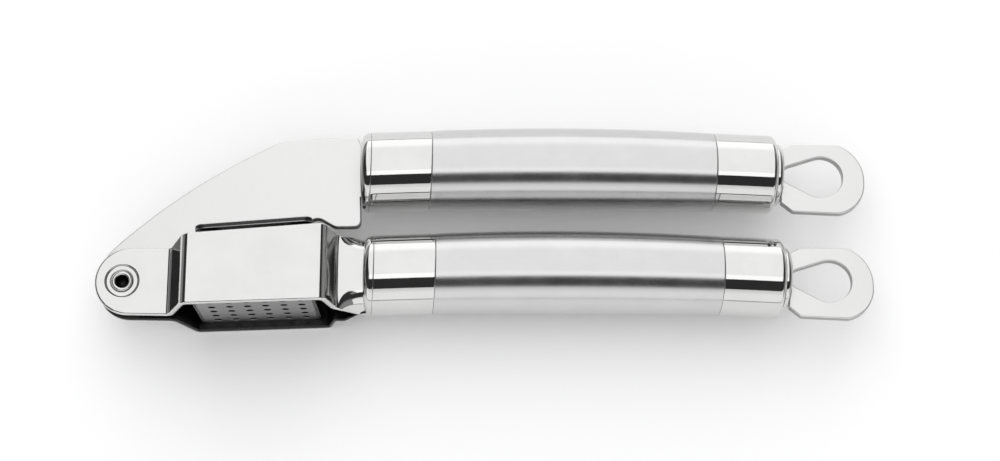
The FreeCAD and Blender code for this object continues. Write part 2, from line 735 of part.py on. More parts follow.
def make_handle(side):
    """Front cap, polished ferrule, satin sleeve, polished ferrule, end disc and hanging loop."""
    place = (
        f"Sizes.pivot_x + Sizes.{side}_handle_x",
        f"Sizes.pivot_y + Sizes.{side}_handle_y",
        "Sizes.middle_z",
    )
    slope = "Sizes.handle_slope"
    front, rear, belly = "Sizes.front_radius", "Sizes.rear_radius", "Sizes.belly_radius"
    wall = "Sizes.tube_wall"
    clear = "Sizes.running_gap"

    cap = new_body(f"{side}_front_cap", place, slope)
    lean = f"({front} + Sizes.cap_round) * sin(Sizes.seam_tilt)"
    grow(cap, "Pad", ring(cap, "0", front, "0"), Length=f"Sizes.cap_end + {lean}")
    soften_rim(cap, "Sizes.cap_round", "0", front)
    seam = ring(cap, "Sizes.cap_end", f"{front} + Sizes.cap_round")
    grow(cap, "Pocket", seam, Length=f"2 * {lean} + Sizes.cap_end", Reversed=True)
    if side == "upper":
        slot_through(cap, f"Sizes.tang_height + 4 * {clear}", f"Sizes.arm_thickness + 2 * {clear}", "0")

    ferrule = new_body(f"{side}_front_ferrule", place, slope)
    bevelled_piece(ferrule, ("Sizes.cap_end", "Sizes.front_seam"), (front, front))
    spigot = f"{front} - {wall} - 2 * {clear}"
    spigot_end = "Sizes.front_seam + Sizes.spigot_length"
    tube_piece(ferrule, "AdditiveLoft", ("Sizes.front_seam", spigot_end), (spigot, spigot))
    bore = f"{front} - 2 * {wall}"
    tube_piece(ferrule, "SubtractiveLoft", ("Sizes.cap_end", spigot_end), (bore, bore))

    sleeve = new_body(f"{side}_grip_sleeve", place, slope)
    stations = ("Sizes.front_seam", "(Sizes.front_seam + Sizes.rear_seam) / 2", "Sizes.rear_seam")
    bevelled_piece(sleeve, stations, (front, belly, rear))
    bores = [f"{radius} - {wall}" for radius in (front, belly, rear)]
    tube_piece(sleeve, "SubtractiveLoft", stations, bores)

    tail = new_body(f"{side}_rear_ferrule", place, slope)
    shoulder = "Sizes.tube_end - Sizes.shoulder_length"
    bevel_end = "Sizes.rear_seam + Sizes.seam_chamfer"
    tube_piece(tail, "AdditiveLoft", (bevel_end, shoulder), (rear, rear))
    tube_piece(tail, "AdditiveLoft", ("Sizes.rear_seam", bevel_end), (f"{rear} - Sizes.seam_chamfer", rear))
    grow(tail, "Pad", ring(tail, shoulder, rear), Length="Sizes.shoulder_length")
    soften_rim(tail, "Sizes.cap_round", "Sizes.tube_end", rear)
    spigot = f"{rear} - {wall} - 2 * {clear}"
    spigot_start = "Sizes.rear_seam - Sizes.spigot_length"
    tube_piece(tail, "AdditiveLoft", (spigot_start, "Sizes.rear_seam"), (spigot, spigot))
    bore = "Sizes.end_disc_radius - Sizes.disc_ledge"
    beyond = "Sizes.tube_end + Sizes.shoulder_length"
    tube_piece(tail, "SubtractiveLoft", (spigot_start, beyond), (bore, bore))
    disc_start = "Sizes.tube_end - Sizes.disc_seat_depth"
    seat = ring(tail, disc_start, "Sizes.end_disc_radius")
    grow(tail, "Pocket", seat, Length="Sizes.tube_end", Reversed=True)

    disc = new_body(f"{side}_end_disc", place, slope)
    disc_radius = f"Sizes.end_disc_radius - {clear}"
    grow(disc, "Pad", ring(disc, disc_start, disc_radius), Length=f"Sizes.handle_length - ({disc_start})")
    soften_rim(disc, "Sizes.disc_round", "Sizes.handle_length", disc_radius)
    tang_height = "Sizes.loop_tang_high - Sizes.loop_tang_low + 4 * Sizes.running_gap"
    tang_middle = "(Sizes.loop_tang_high + Sizes.loop_tang_low) / 2"
    slot_through(disc, tang_height, f"Sizes.loop_thickness + 2 * {clear}", tang_middle)

    make_loop(side, place, slope)


def make_loop(side, place, slope):
    """A flat plate with a drop-shaped eye to hang the press by."""
    body = new_body(f"{side}_hanging_loop", place, slope)
    end = "Sizes.handle_length"
    tang = f"{end} - Sizes.loop_tang_length"
    face = f"{end} + Sizes.loop_face_gap"
    shoulder = f"{end} + Sizes.loop_shoulder"
    far_side = f"{end} + Sizes.loop_far_length"
    sketch = new_sketch(body, "XY_Plane")
    draw_outline(sketch, [
        (tang, "Sizes.loop_tang_low"),
        (face, "Sizes.loop_tang_low"),
        (face, "Sizes.loop_low_y + 0.9 * Sizes.loop_shoulder"),
        (shoulder, "Sizes.loop_low_y + 0.15 * Sizes.loop_shoulder"),
        (far_side, "Sizes.loop_low_y", "Sizes.loop_low_rise"),
        (f"{end} + Sizes.loop_length", "Sizes.loop_nose_y", "Sizes.loop_high_rise"),
        (far_side, "Sizes.loop_high_y"),
        (shoulder, "Sizes.loop_high_y"),
        (face, "Sizes.loop_high_y - 0.5 * Sizes.loop_shoulder"),
        (face, "Sizes.loop_tang_high"),
        (tang, "Sizes.loop_tang_high"),
    ])
    draw_eye(sketch)
    grow(body, "Pad", sketch, Length="Sizes.loop_thickness", both_ways=True)
    return body


def draw_eye(sketch):
    """Two arcs of different size and the lines that touch them both."""
    big = value("Sizes.eye_radius")
    small = value("Sizes.eye_small_radius")
    end = value("Sizes.handle_length")
    level = value("Sizes.eye_y")
    big_middle = Vector(end + value("Sizes.eye_x"), level, 0)
    small_middle = Vector(end + value("Sizes.eye_small_x"), level + value("Sizes.eye_lean"), 0)
    reach = small_middle - big_middle
    lean = math.atan2(reach.y, reach.x)
    spread = math.acos((big - small) / reach.Length)

    def rim(middle, radius, angle):
        return middle + Vector(math.cos(angle), math.sin(angle), 0) * radius

    big_low, big_high = rim(big_middle, big, lean + spread), rim(big_middle, big, lean - spread)
    small_low, small_high = rim(small_middle, small, lean + spread), rim(small_middle, small, lean - spread)
    for shape in (
        Part.Arc(big_low, rim(big_middle, big, lean + math.pi), big_high),
        Part.LineSegment(big_high, small_high),
        Part.Arc(small_high, rim(small_middle, small, lean), small_low),
        Part.LineSegment(small_low, big_low),
    ):
        sketch.addGeometry(shape)


# ---------------------------------------------------------------- build, check and write


near_cheek = make_near_cheek()
mirrored("far_cheek", near_cheek)
make_sieve_basket()
make_pivot_rivet()
make_arm_plate()
make_plunger_foot()
near_bracket = make_near_bracket()
mirrored("far_plunger_bracket", near_bracket)
make_plunger_pin()
for handle_side in ("upper", "lower"):
    make_handle(handle_side)
doc.recompute()

for item in doc.Objects:
    if {"Invalid", "Error"} & set(item.State):
        raise RuntimeError(f"{item.Label} is {item.State}")
os.makedirs("parts", exist_ok=True)
for item in subparts:
    shape = item.Shape
    if shape.isNull() or not shape.isValid() or not shape.Solids:
        raise RuntimeError(f"{item.Label} has no valid solid")
    print(f"{item.Label}: {len(shape.Solids)} solid, {shape.Volume:.1f} mm3, {shape.BoundBox}")
for item in subparts:
    item.Shape.exportStep(f"parts/{item.Label}.step")
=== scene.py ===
import json
import math

import bmesh
import bpy
import numpy as np
from mathutils import Matrix, Vector


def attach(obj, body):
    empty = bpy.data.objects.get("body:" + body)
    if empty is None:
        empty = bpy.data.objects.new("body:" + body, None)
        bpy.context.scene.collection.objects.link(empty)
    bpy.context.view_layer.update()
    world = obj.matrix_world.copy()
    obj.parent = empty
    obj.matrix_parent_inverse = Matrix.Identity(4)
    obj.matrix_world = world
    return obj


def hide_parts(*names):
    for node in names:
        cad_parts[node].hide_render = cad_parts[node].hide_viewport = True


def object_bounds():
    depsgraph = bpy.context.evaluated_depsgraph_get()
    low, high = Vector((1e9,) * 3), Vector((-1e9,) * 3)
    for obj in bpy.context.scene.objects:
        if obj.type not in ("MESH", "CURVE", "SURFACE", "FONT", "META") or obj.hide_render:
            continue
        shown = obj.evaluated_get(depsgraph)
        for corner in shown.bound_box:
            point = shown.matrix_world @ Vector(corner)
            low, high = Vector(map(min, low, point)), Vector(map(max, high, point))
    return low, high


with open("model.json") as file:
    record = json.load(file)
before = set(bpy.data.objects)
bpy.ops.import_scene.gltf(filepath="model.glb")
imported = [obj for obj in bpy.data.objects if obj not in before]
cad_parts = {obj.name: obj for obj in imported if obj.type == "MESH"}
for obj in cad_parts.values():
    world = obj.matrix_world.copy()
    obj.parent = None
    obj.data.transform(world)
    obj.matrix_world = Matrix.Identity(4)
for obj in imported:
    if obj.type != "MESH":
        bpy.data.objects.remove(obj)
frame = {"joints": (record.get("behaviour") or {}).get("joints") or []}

# A stainless steel garlic press. Shapes are worked out in millimetres about the pivot, halfway
# through the press, with x along the handles, y towards the upper lever and z along the rivet.

MM = 0.001
CAD_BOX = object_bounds()
PIVOT, PIN = (np.array(joint["pos_m"]) / MM for joint in frame["joints"])
PIN_X, PIN_Y = (PIN - PIVOT)[:2]
MIDDLE_Z = PIVOT[2]

# sheet metal of the lower lever
SHEET = 1.5
EAR_GAP = 3.5
EAR_RADIUS = 8.2
EAR_MIDDLE_X = 1.7
FRONT_BEND = math.radians(67.5)
REAR_BEND = math.radians(74.5)
BEND_RADIUS = 0.9
CHAMBER_FRONT_X = 15.7
CHAMBER_REAR_X = 49.2
CHAMBER_LENGTH = CHAMBER_REAR_X - CHAMBER_FRONT_X
NECK_START_X = 52.4
NECK_BOW_LEAD = 1.0
NECK_OVERRUN = 1.0
NECK_HALF_WIDTH = 6.1
NECK_BULGE = 5.3
NECK_SQUARENESS = 4.5
NECK_NARROWING = 0.35
NECK_HALF_HEIGHT = 9.25
NECK_TOP_Y = 10.2
NECK_BOTTOM_Y = -8.0
RIM_FRONT_Y, RIM_REAR_Y = 8.75, 11.15
RIM_CLIMB, RIM_INSET = 4.0, 1.0
FOOT_FRONT_Y, FOOT_REAR_Y = -8.5, -7.5
EDGE_ROUND = 0.3
CHEEK_ROUND = 0.55
NECK_CUTS_FROM_END = (8.5, 0.5)
LENGTHWISE_CUTS_Y = (-7.2, 10.7)

# the rivet and the dimples round it
RIVET_BORE = 1.55
RIVET_WEB = 1.0
RIVET_RADIUS = 2.05
RIVET_LIP = 2.45
RIVET_SEAT_DROP = 0.5
RIVET_BORE_MARGIN = 0.01
DIMPLE_RADIUS = 3.8
DIMPLE_FLOOR = 2.85
DIMPLE_FLOOR_INSET = 0.45
DIMPLE_FLOOR_DROP = 0.55
DIMPLE_LEDGE_DROP = 0.12
DIMPLE_BEND = (0.18, 0.25)
DIMPLE_INNER_LIP = ((0.15, -0.12), (0.04, -0.06), (0.0, 0.05))
DIMPLE_OUTER_LIP = ((0.0, -0.3), (0.03, -0.1), (0.1, 0.0))
DIMPLE_GAP = 0.02

# basket and plunger
BASKET_X = (17.5, 46.3)
BASKET_HALF_WIDTH = 12.1
BASKET_WALL = 0.8
BASKET_CORNER = 2.4
BASKET_DROP = 0.6
BASKET_EDGE = 0.02
SIEVE_LIFT = 2.0
SIEVE_THICKNESS = 0.9
SIEVE_HOLE = 0.88
SIEVE_EDGE = 0.12
SIEVE_GRID = (6, 6)
SIEVE_MIDDLE_X = 32.2
SIEVE_PITCH = (4.28, 3.75)
FOOT_X = (21.2, 45.1)
FOOT_HALF_WIDTH = 10.8
FOOT_THICKNESS = 2.5
FOOT_GAP = 0.5
FOOT_LIFT = SIEVE_LIFT + SIEVE_THICKNESS + FOOT_GAP
FOOT_EDGE = 0.25
BRACKET_GAP = 1.5
BRACKET_SHEET = 1.3
BRACKET_EDGE = 0.22
BRACKET_BEND_RADIUS = 0.4
WEB_HALF_LENGTH = 9.0
FLANGE_X = (17.9, 45.6)
FLANGE_LIFT = 1.5
FLANGE_CORNER = 2.5
PIN_RADIUS = 1.5
PIN_HEAD_RADIUS = 2.4
PIN_HEAD_HEIGHT = 0.7
PIN_HEAD_ROUND = 0.3
PIN_BOSS = 3.5
PIN_BOSS_REACH = 6.5
RUNNING_GAP = 0.05

# arm plate; a rise is how far the arc that leaves a corner stands off its chord
ARM_THICKNESS = 2.5
ARM_HEEL, ARM_HEEL_RISE = (3.5, -7.2), 0.8
ARM_THROAT = (8.2, 1.0)
ARM_CHIN = (12.2, 8.3)
ARM_FRONT_GAP, ARM_RIM_GAP, ARM_REAR_GAP = 1.2, 0.8, 5.4
ARM_REAR_REACH = 3.2
ARM_TAB_REACH = 1.0
ARM_TAB_Y = 13.8
ARM_TAB_SLANT = 0.3
ARM_END_GAP = 0.45
ARM_END_SLANT, ARM_END_RISE = 0.75, 0.25
ARM_TOP_Y = 36.5
ARM_SHOULDER, ARM_TOP_RISE = (37.0, 35.5), 1.9
ARM_CROWN, ARM_BACK_RISE = (-2.0, 9.3), 0.9
ARM_NOSE, ARM_NOSE_RISE = (-6.75, 0.0), 2.6
ARM_TAB_ROUND, ARM_END_ROUND, ARM_SHOULDER_ROUND = 2.5, 1.8, 6.0
TANG_LENGTH, TANG_HALF_HEIGHT = 8.0, 6.5

# handles, along their own axis from the face of the front cap
HANDLE_ORIGIN = {"upper": (56.7, 27.75), "lower": (57.7, 1.75)}
HANDLE_SLOPE = math.radians(-0.69)
FRONT_RADIUS, BELLY_RADIUS, REAR_RADIUS = 9.7, 9.94, 9.45
ARCH_RADIUS = 1050.0
SEAM_TILT = math.radians(6.0)
CAP_END, FRONT_SEAM, REAR_SEAM, TUBE_END, HANDLE_LENGTH = 1.6, 16.2, 84.1, 98.8, 100.4
TUBE_WALL = 0.9
SEAM_ROUND = 0.2
SEAM_DEPTH = 1.0
CAP_ROUND = 1.4
CAP_SEAM_ROUND = 0.08
FACE_CORE, FACE_MARGIN = 1.0, 0.05
DISC_RADIUS = 7.65
DISC_ROUND = 1.2
DISC_SEAT = 1.5
DISC_LEDGE = 0.1
DISC_GAP = 0.05

# hanging loops, from the rear end of the handle
LOOP_THICKNESS = 2.5
LOOP_TANG, LOOP_FACE_GAP, LOOP_SHOULDER, LOOP_FAR = 2.0, 0.25, 3.0, 14.3
LOOP_TANG_Y = (-4.5, 2.5)
LOOP_FACE_Y = (-7.2, 5.9)
LOOP_SHOULDER_Y = -9.45
LOOP_SIDE_Y = (-9.9, 7.4)
LOOP_NOSE = (20.4, -2.0)
LOOP_LOW_RISE, LOOP_HIGH_RISE = 1.85, 1.8
LOOP_SHOULDER_ROUND = 1.0
EYE_RADIUS, EYE_PLACE = 5.15, (10.0, -0.8)
EYE_TIP_RADIUS, EYE_TIP_PLACE = 2.5, (3.3, -0.2)

# mesh work: distances that count as nothing
POLE_RADIUS = 1e-6
SAME_POINT = 1e-3
ON_THE_CUT = 1e-5
ON_THE_FACE = 1e-4

# which of a piece's materials a face of a plate takes
CUT_EDGE, INNER_SIDE = 1, 2

# ---------------------------------------------------------------- shapes: points, normals, faces


class Shape:
    """A mesh on the way: points and normals, one row each, and faces with the number of their material."""

    def __init__(self, points, normals, faces, marks=None):
        self.points = np.asarray(points, float)
        self.normals = np.asarray(normals, float)
        self.faces = [tuple(face) for face in faces]
        self.marks = list(marks) if marks is not None else [0] * len(self.faces)

    def joined(self, other):
        shift = len(self.points)
        faces = self.faces + [tuple(index + shift for index in face) for face in other.faces]
        points = np.vstack([self.points, other.points])
        return Shape(points, np.vstack([self.normals, other.normals]), faces, self.marks + other.marks)

    def moved(self, mapping):
        """The shape carried by a smooth map, with its normals turned to suit."""
        step = 1e-4
        columns = []
        for axis in range(3):
            nudge = np.zeros(3)
            nudge[axis] = step
            ahead, behind = mapping(self.points + nudge), mapping(self.points - nudge)
            columns.append((ahead - behind) / (2 * step))
        jacobian = np.stack(columns, axis=2)
        turn = np.linalg.inv(jacobian).transpose(0, 2, 1)
        normals = np.einsum("nij,nj->ni", turn, self.normals)
        flipped = np.linalg.det(jacobian).mean() < 0
        faces = [face[::-1] for face in self.faces] if flipped else self.faces
        normals /= np.linalg.norm(normals, axis=1)[:, None]
        return Shape(mapping(self.points), normals, faces, self.marks)


def add_piece(name, shape, materials, slot, body, *nodes):
    """Put a shape into the scene in place of its CAD nodes; its face marks pick from the materials."""
    mesh = bpy.data.meshes.new(name)
    mesh.from_pydata(((shape.points + PIVOT) * MM).tolist(), [], shape.faces)
    mesh.shade_smooth()
    mesh.normals_split_custom_set_from_vertices(shape.normals.tolist())
    for material in materials:
        mesh.materials.append(material)
    mesh.polygons.foreach_set("material_index", shape.marks)
    piece = bpy.data.objects.new(name, mesh)
    bpy.context.scene.collection.objects.link(piece)
    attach(piece, body)
    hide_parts(*nodes)


def lathe(profile, sides=128):
    """A closed profile of (x, radius) points turned about the x axis; radius 0 is a pole."""
    profile = np.asarray(profile, float)
    before = profile - np.roll(profile, 1, axis=0)
    after = np.roll(profile, -1, axis=0) - profile
    slopes = before + after
    outward = np.stack([-slopes[:, 1], slopes[:, 0]], axis=1)
    outward /= np.linalg.norm(outward, axis=1)[:, None]
    points, normals, rings = [], [], []
    for (x, radius), (along, across) in zip(profile, outward):
        if radius < POLE_RADIUS:
            rings.append([len(points)] * sides)
            points.append((x, 0.0, 0.0))
            normals.append((math.copysign(1.0, along), 0.0, 0.0))
            continue
        rings.append(list(range(len(points), len(points) + sides)))
        for step in range(sides):
            angle = 2 * math.pi * step / sides
            points.append((x, radius * math.cos(angle), radius * math.sin(angle)))
            normals.append((along, across * math.cos(angle), across * math.sin(angle)))
    faces = []
    for first, second in zip(rings, rings[1:] + rings[:1]):
        if first[0] == first[1] and second[0] == second[1]:
            continue
        for step in range(sides):
            ahead = (step + 1) % sides
            face = [first[step], first[ahead], second[ahead], second[step]]
            faces.append(list(dict.fromkeys(face)))
    return Shape(points, normals, faces)


def onto_z(points):
    """Turn what was drawn about the x axis to stand on the z axis."""
    return points[:, [1, 2, 0]]


def arc_points(middle, radius, start, end, count=8):
    """Points on an arc, angles in degrees."""
    angles = np.radians(np.linspace(start, end, count))
    return [(middle[0] + radius * math.cos(a), middle[1] + radius * math.sin(a)) for a in angles]


def curve_to(start, end, rise, count=24):
    """Points from start up to, but not including, end, on an arc that rises to its right."""
    start, end = np.array(start), np.array(end)
    chord = end - start
    half = np.linalg.norm(chord) / 2
    radius = (half ** 2 + rise ** 2) / (2 * abs(rise))
    side = np.array([chord[1], -chord[0]]) / (2 * half) * math.copysign(1, rise)
    middle = (start + end) / 2 + side * (abs(rise) - radius)
    reach = start - middle
    sweep = 2 * math.atan2(abs(rise), half) * 2 * math.copysign(1, rise)
    spots = []
    for turn in np.linspace(0, sweep, count, endpoint=False):
        c, s = math.cos(turn), math.sin(turn)
        spots.append((middle[0] + reach[0] * c - reach[1] * s, middle[1] + reach[0] * s + reach[1] * c))
    return spots


def outline_through(corners, rounds=None, count=6, most=0.95):
    """A closed outline: a corner is (x, y) and, where an arc leads on, its rise; rounds are by corner.

    A round takes no more than the share called most of either side next to it.
    """
    spots, marks = [], {}
    for index, corner in enumerate(corners):
        following = corners[(index + 1) % len(corners)]
        marks[len(spots)] = (rounds or {}).get(corner, 0)
        if len(corner) == 3:
            spots += curve_to(corner[:2], following[:2], corner[2])
        else:
            spots.append(tuple(corner))
    rounded = []
    for index, spot in enumerate(spots):
        radius = marks.get(index, 0)
        if not radius:
            rounded.append(spot)
            continue
        here = np.array(spot)
        back = np.array(spots[index - 1]) - here
        ahead = np.array(spots[(index + 1) % len(spots)]) - here
        back_length, ahead_length = np.linalg.norm(back), np.linalg.norm(ahead)
        turn = math.pi - math.acos(np.dot(back, ahead) / (back_length * ahead_length))
        cut = radius * math.tan(turn / 2)
        start = here + back / back_length * min(cut, most * back_length)
        end = here + ahead / ahead_length * min(cut, most * ahead_length)
        for t in np.linspace(0, 1, count):
            rounded.append(tuple((1 - t) ** 2 * start + 2 * t * (1 - t) * here + t ** 2 * end))
    return rounded


def circle(middle, radius, count=48):
    return arc_points(middle, radius, 0, 360 * (count - 1) / count, count)


def plate(outline, holes=(), thickness=SHEET, edge=EDGE_ROUND, cuts_x=(), cuts_y=()):
    """A flat plate about z = 0 with rounded edges, cut across so that it can be bent."""
    curve = bpy.data.curves.new("plate", "CURVE")
    curve.dimensions = "2D"
    curve.fill_mode = "BOTH"
    curve.extrude = thickness / 2 - edge
    curve.bevel_depth = edge
    curve.bevel_resolution = 3
    curve.offset = -edge
    for loop in (outline, *holes):
        spline = curve.splines.new("POLY")
        spline.points.add(len(loop) - 1)
        for point, (x, y) in zip(spline.points, loop):
            point.co = (x, y, 0, 1)
        spline.use_cyclic_u = True
    holder = bpy.data.objects.new("plate", curve)
    bpy.context.scene.collection.objects.link(holder)
    flat = bpy.data.meshes.new_from_object(holder.evaluated_get(bpy.context.evaluated_depsgraph_get()))
    bpy.data.objects.remove(holder)
    work = bmesh.new()
    work.from_mesh(flat)
    bmesh.ops.remove_doubles(work, verts=work.verts, dist=SAME_POINT)
    for axis, cuts in enumerate((cuts_x, cuts_y)):
        normal = (1, 0, 0) if axis == 0 else (0, 1, 0)
        for cut in cuts:
            everything = work.verts[:] + work.edges[:] + work.faces[:]
            spot = Vector(normal) * cut
            bmesh.ops.bisect_plane(work, geom=everything, dist=ON_THE_CUT, plane_co=spot, plane_no=normal)
    bmesh.ops.recalc_face_normals(work, faces=work.faces)
    work.normal_update()
    points = [tuple(vertex.co) for vertex in work.verts]
    normals = [tuple(vertex.normal) for vertex in work.verts]
    for index, (x, y, z) in enumerate(points):
        if abs(abs(z) - thickness / 2) < ON_THE_FACE:
            normals[index] = (0, 0, math.copysign(1, z))
    faces = [[vertex.index for vertex in face.verts] for face in work.faces]
    heights = [[points[index][2] for index in face] for face in faces]
    marks = [CUT_EDGE if max(z) - min(z) > 2 * edge else 0 for z in heights]
    marks = [INNER_SIDE if max(z) < edge - thickness / 2 else mark for z, mark in zip(heights, marks)]
    work.free()
    bpy.data.meshes.remove(flat)
    return Shape(points, normals, faces, marks)


# ---------------------------------------------------------------- materials


def node(tree, kind, **settings):
    made = tree.nodes.new(kind)
    for name, setting in settings.items():
        if hasattr(made, name):
            setattr(made, name, setting)
        else:
            made.inputs[name.replace("_", " ")].default_value = setting
    return made


MOTTLE_LOW, MOTTLE_HIGH = 0.3, 0.7
MOTTLE_SHADES = (0.965, 1.02)


def steel(name, colour, roughness, spread, mottle_size, grain=0, grain_stretch=(1, 1, 1), grain_depth=0):
    """Stainless steel: a faint mottle in colour and gloss, and a fine grain cut into the surface."""
    material = bpy.data.materials.new(name)
    material.use_nodes = True
    tree = material.node_tree
    tree.nodes.clear()
    link = tree.links.new
    out = tree.nodes.new("ShaderNodeOutputMaterial")
    shader = node(tree, "ShaderNodeBsdfPrincipled", Metallic=1.0)
    link(shader.outputs["BSDF"], out.inputs["Surface"])
    place = tree.nodes.new("ShaderNodeTexCoord").outputs["Object"]

    mottle = node(tree, "ShaderNodeTexNoise", Scale=1 / (mottle_size * MM), Detail=4.0, Roughness=0.6)
    link(place, mottle.inputs["Vector"])
    gloss = node(tree, "ShaderNodeMapRange", From_Min=MOTTLE_LOW, From_Max=MOTTLE_HIGH,
                 To_Min=roughness - spread, To_Max=roughness + spread)
    link(mottle.outputs["Fac"], gloss.inputs["Value"])
    link(gloss.outputs["Result"], shader.inputs["Roughness"])
    ramp = tree.nodes.new("ShaderNodeValToRGB")
    stops = zip(ramp.color_ramp.elements, (MOTTLE_LOW, MOTTLE_HIGH), MOTTLE_SHADES)
    for stop, position, shade in stops:
        stop.position = position
        stop.color = (*[min(channel * shade, 1) for channel in colour], 1)
    link(mottle.outputs["Fac"], ramp.inputs["Fac"])
    link(ramp.outputs["Color"], shader.inputs["Base Color"])

    if grain:
        stretch = node(tree, "ShaderNodeMapping")
        stretch.inputs["Scale"].default_value = grain_stretch
        lines = node(tree, "ShaderNodeTexNoise", Scale=1 / (grain * MM), Detail=3.0, Roughness=0.65)
        bump = node(tree, "ShaderNodeBump", Strength=1.0, Distance=grain_depth * MM)
        link(place, stretch.inputs["Vector"])
        link(stretch.outputs["Vector"], lines.inputs["Vector"])
        link(lines.outputs["Fac"], bump.inputs["Height"])
        link(bump.outputs["Normal"], shader.inputs["Normal"])
    return material


PALE_STEEL = (0.66, 0.66, 0.655)
SHEET_STEEL = steel("polished_sheet_steel", PALE_STEEL, roughness=0.07, spread=0.02, mottle_size=9.0,
                    grain=6.0, grain_depth=0.006)
TUBE_STEEL = steel("polished_tube_steel", PALE_STEEL, roughness=0.05, spread=0.02, mottle_size=7.0,
                   grain=5.0, grain_depth=0.004)
SATIN_STEEL = steel("satin_sleeve_steel", (0.6, 0.6, 0.6), roughness=0.21, spread=0.02, mottle_size=6.0,
                    grain=0.35, grain_stretch=(1, 0.06, 0.06), grain_depth=0.003)
ARM_STEEL = steel("tumbled_arm_steel", (0.72, 0.72, 0.715), roughness=0.32, spread=0.04, mottle_size=6.0,
                  grain=1.2, grain_depth=0.0008)
PRESSED_STEEL = steel("pressed_steel", (0.55, 0.55, 0.55), roughness=0.3, spread=0.05, mottle_size=4.0,
                      grain=0.6, grain_stretch=(0.15, 1, 1), grain_depth=0.002)
RIVET_STEEL = steel("rivet_steel", PALE_STEEL, roughness=0.12, spread=0.04, mottle_size=2.0)
SIEVE_STEEL = steel("pressed_sieve_steel", (0.33, 0.33, 0.33), roughness=0.35, spread=0.04, mottle_size=4.0)
CUT_STEEL = steel("cut_edge_steel", (0.34, 0.34, 0.34), roughness=0.35, spread=0.05, mottle_size=2.0)
SHEARED_STEEL = steel("sheared_edge_steel", (0.14, 0.14, 0.14), roughness=0.4, spread=0.05, mottle_size=2.0)
# near black, painted: shade on the basket's upright walls and in the sieve's holes, and a dark reflection
# on the brackets' cut edges
SHADE_PAINTED_EDGE_STEEL = steel("painted_shade_edge_steel", (0.05, 0.05, 0.05), roughness=0.4, spread=0.05,
                          mottle_size=2.0)
# near black: painted shade on the cheeks' inner faces inside the chamber and on the plunger foot inside the
# basket
SHADE_PAINTED_INNER_STEEL = steel("painted_shade_inner_steel", (0.06, 0.06, 0.06), roughness=0.3, spread=0.05, mottle_size=5.0)
# near black: painted shade in the rivet's bore
SHADE_PAINTED_BORE_STEEL = steel("painted_shade_rivet_bore", (0.03, 0.03, 0.03), roughness=0.5, spread=0.05, mottle_size=1.0)


# ---------------------------------------------------------------- lower lever: cheeks


def along_chamber(x, front_y, rear_y):
    """The height at x of a straight line between the chamber's two bends."""
    return front_y + (x - CHAMBER_FRONT_X) * (rear_y - front_y) / CHAMBER_LENGTH


def rim_line(x):
    return along_chamber(x, RIM_FRONT_Y, RIM_REAR_Y)


def foot_line(x):
    return along_chamber(x, FOOT_FRONT_Y, FOOT_REAR_Y)


class FoldLine:
    """A path of straight runs joined by arcs, measured along its length."""

    def __init__(self, corners, radius):
        corners = [np.array(corner, float) for corner in corners]
        self.parts = []
        length = 0.0
        here = corners[0]
        for before, corner, after in zip(corners, corners[1:], corners[2:]):
            heading = (corner - before) / np.linalg.norm(corner - before)
            leaving = (after - corner) / np.linalg.norm(after - corner)
            turn = math.atan2(heading[0] * leaving[1] - heading[1] * leaving[0], heading @ leaving)
            cut = radius * math.tan(abs(turn) / 2)
            start = corner - heading * cut
            run = np.linalg.norm(start - here)
            self.parts.append((length, run, here, math.atan2(heading[1], heading[0]), 0.0))
            length += run
            arc = radius * abs(turn)
            self.parts.append((length, arc, start, math.atan2(heading[1], heading[0]), turn))
            length += arc
            here = corner + leaving * cut
        heading = corners[-1] - here
        run = np.linalg.norm(heading)
        self.parts.append((length, run, here, math.atan2(heading[1], heading[0]), 0.0))
        self.length = length + run

    def bend_cuts(self, count=10):
        """Where a flat sheet has to be cut across so that its bends come out round."""
        bends = [(start, run) for start, run, _, _, turn in self.parts if turn]
        return [start + run * index / count for start, run in bends for index in range(count + 1)]

    def at(self, distances):
        """Places and headings along the path; past its ends it runs straight on."""
        places = np.zeros((len(distances), 2))
        angles = np.zeros(len(distances))
        for index, (start, run, here, angle, turn) in enumerate(self.parts):
            first, last = index == 0, index == len(self.parts) - 1
            inside = (distances >= start) | first
            inside &= (distances < start + run) | last
            along = distances[inside] - start
            if turn:
                radius = run / turn
                headings = angle + along / radius
                places[inside, 0] = here[0] + radius * (np.sin(headings) - math.sin(angle))
                places[inside, 1] = here[1] - radius * (np.cos(headings) - math.cos(angle))
                angles[inside] = headings
            else:
                places[inside] = here + np.outer(along, (math.cos(angle), math.sin(angle)))
                angles[inside] = angle
        return places, angles


def cheek_path():
    """The middle of the cheek's sheet seen from above, from the ear to the neck."""
    half = SHEET / 2
    ear_z = EAR_GAP / 2 + half
    wall_z = MIDDLE_Z - half
    neck_z = NECK_HALF_WIDTH - half
    front_shift = half * math.tan(FRONT_BEND / 2)
    rear_shift = half * math.tan(REAR_BEND / 2)
    front_top = CHAMBER_FRONT_X + front_shift
    rear_top = CHAMBER_REAR_X - rear_shift
    front_run = (wall_z - ear_z) / math.tan(FRONT_BEND)
    rear_run = (wall_z - neck_z) / math.tan(REAR_BEND)
    corners = [
        (-EAR_RADIUS, ear_z),
        (front_top - front_run, ear_z),
        (front_top, wall_z),
        (rear_top, wall_z),
        (rear_top + rear_run, neck_z),
        (HANDLE_ORIGIN["lower"][0] + NECK_OVERRUN, neck_z),
    ]
    return FoldLine(corners, BEND_RADIUS + half)


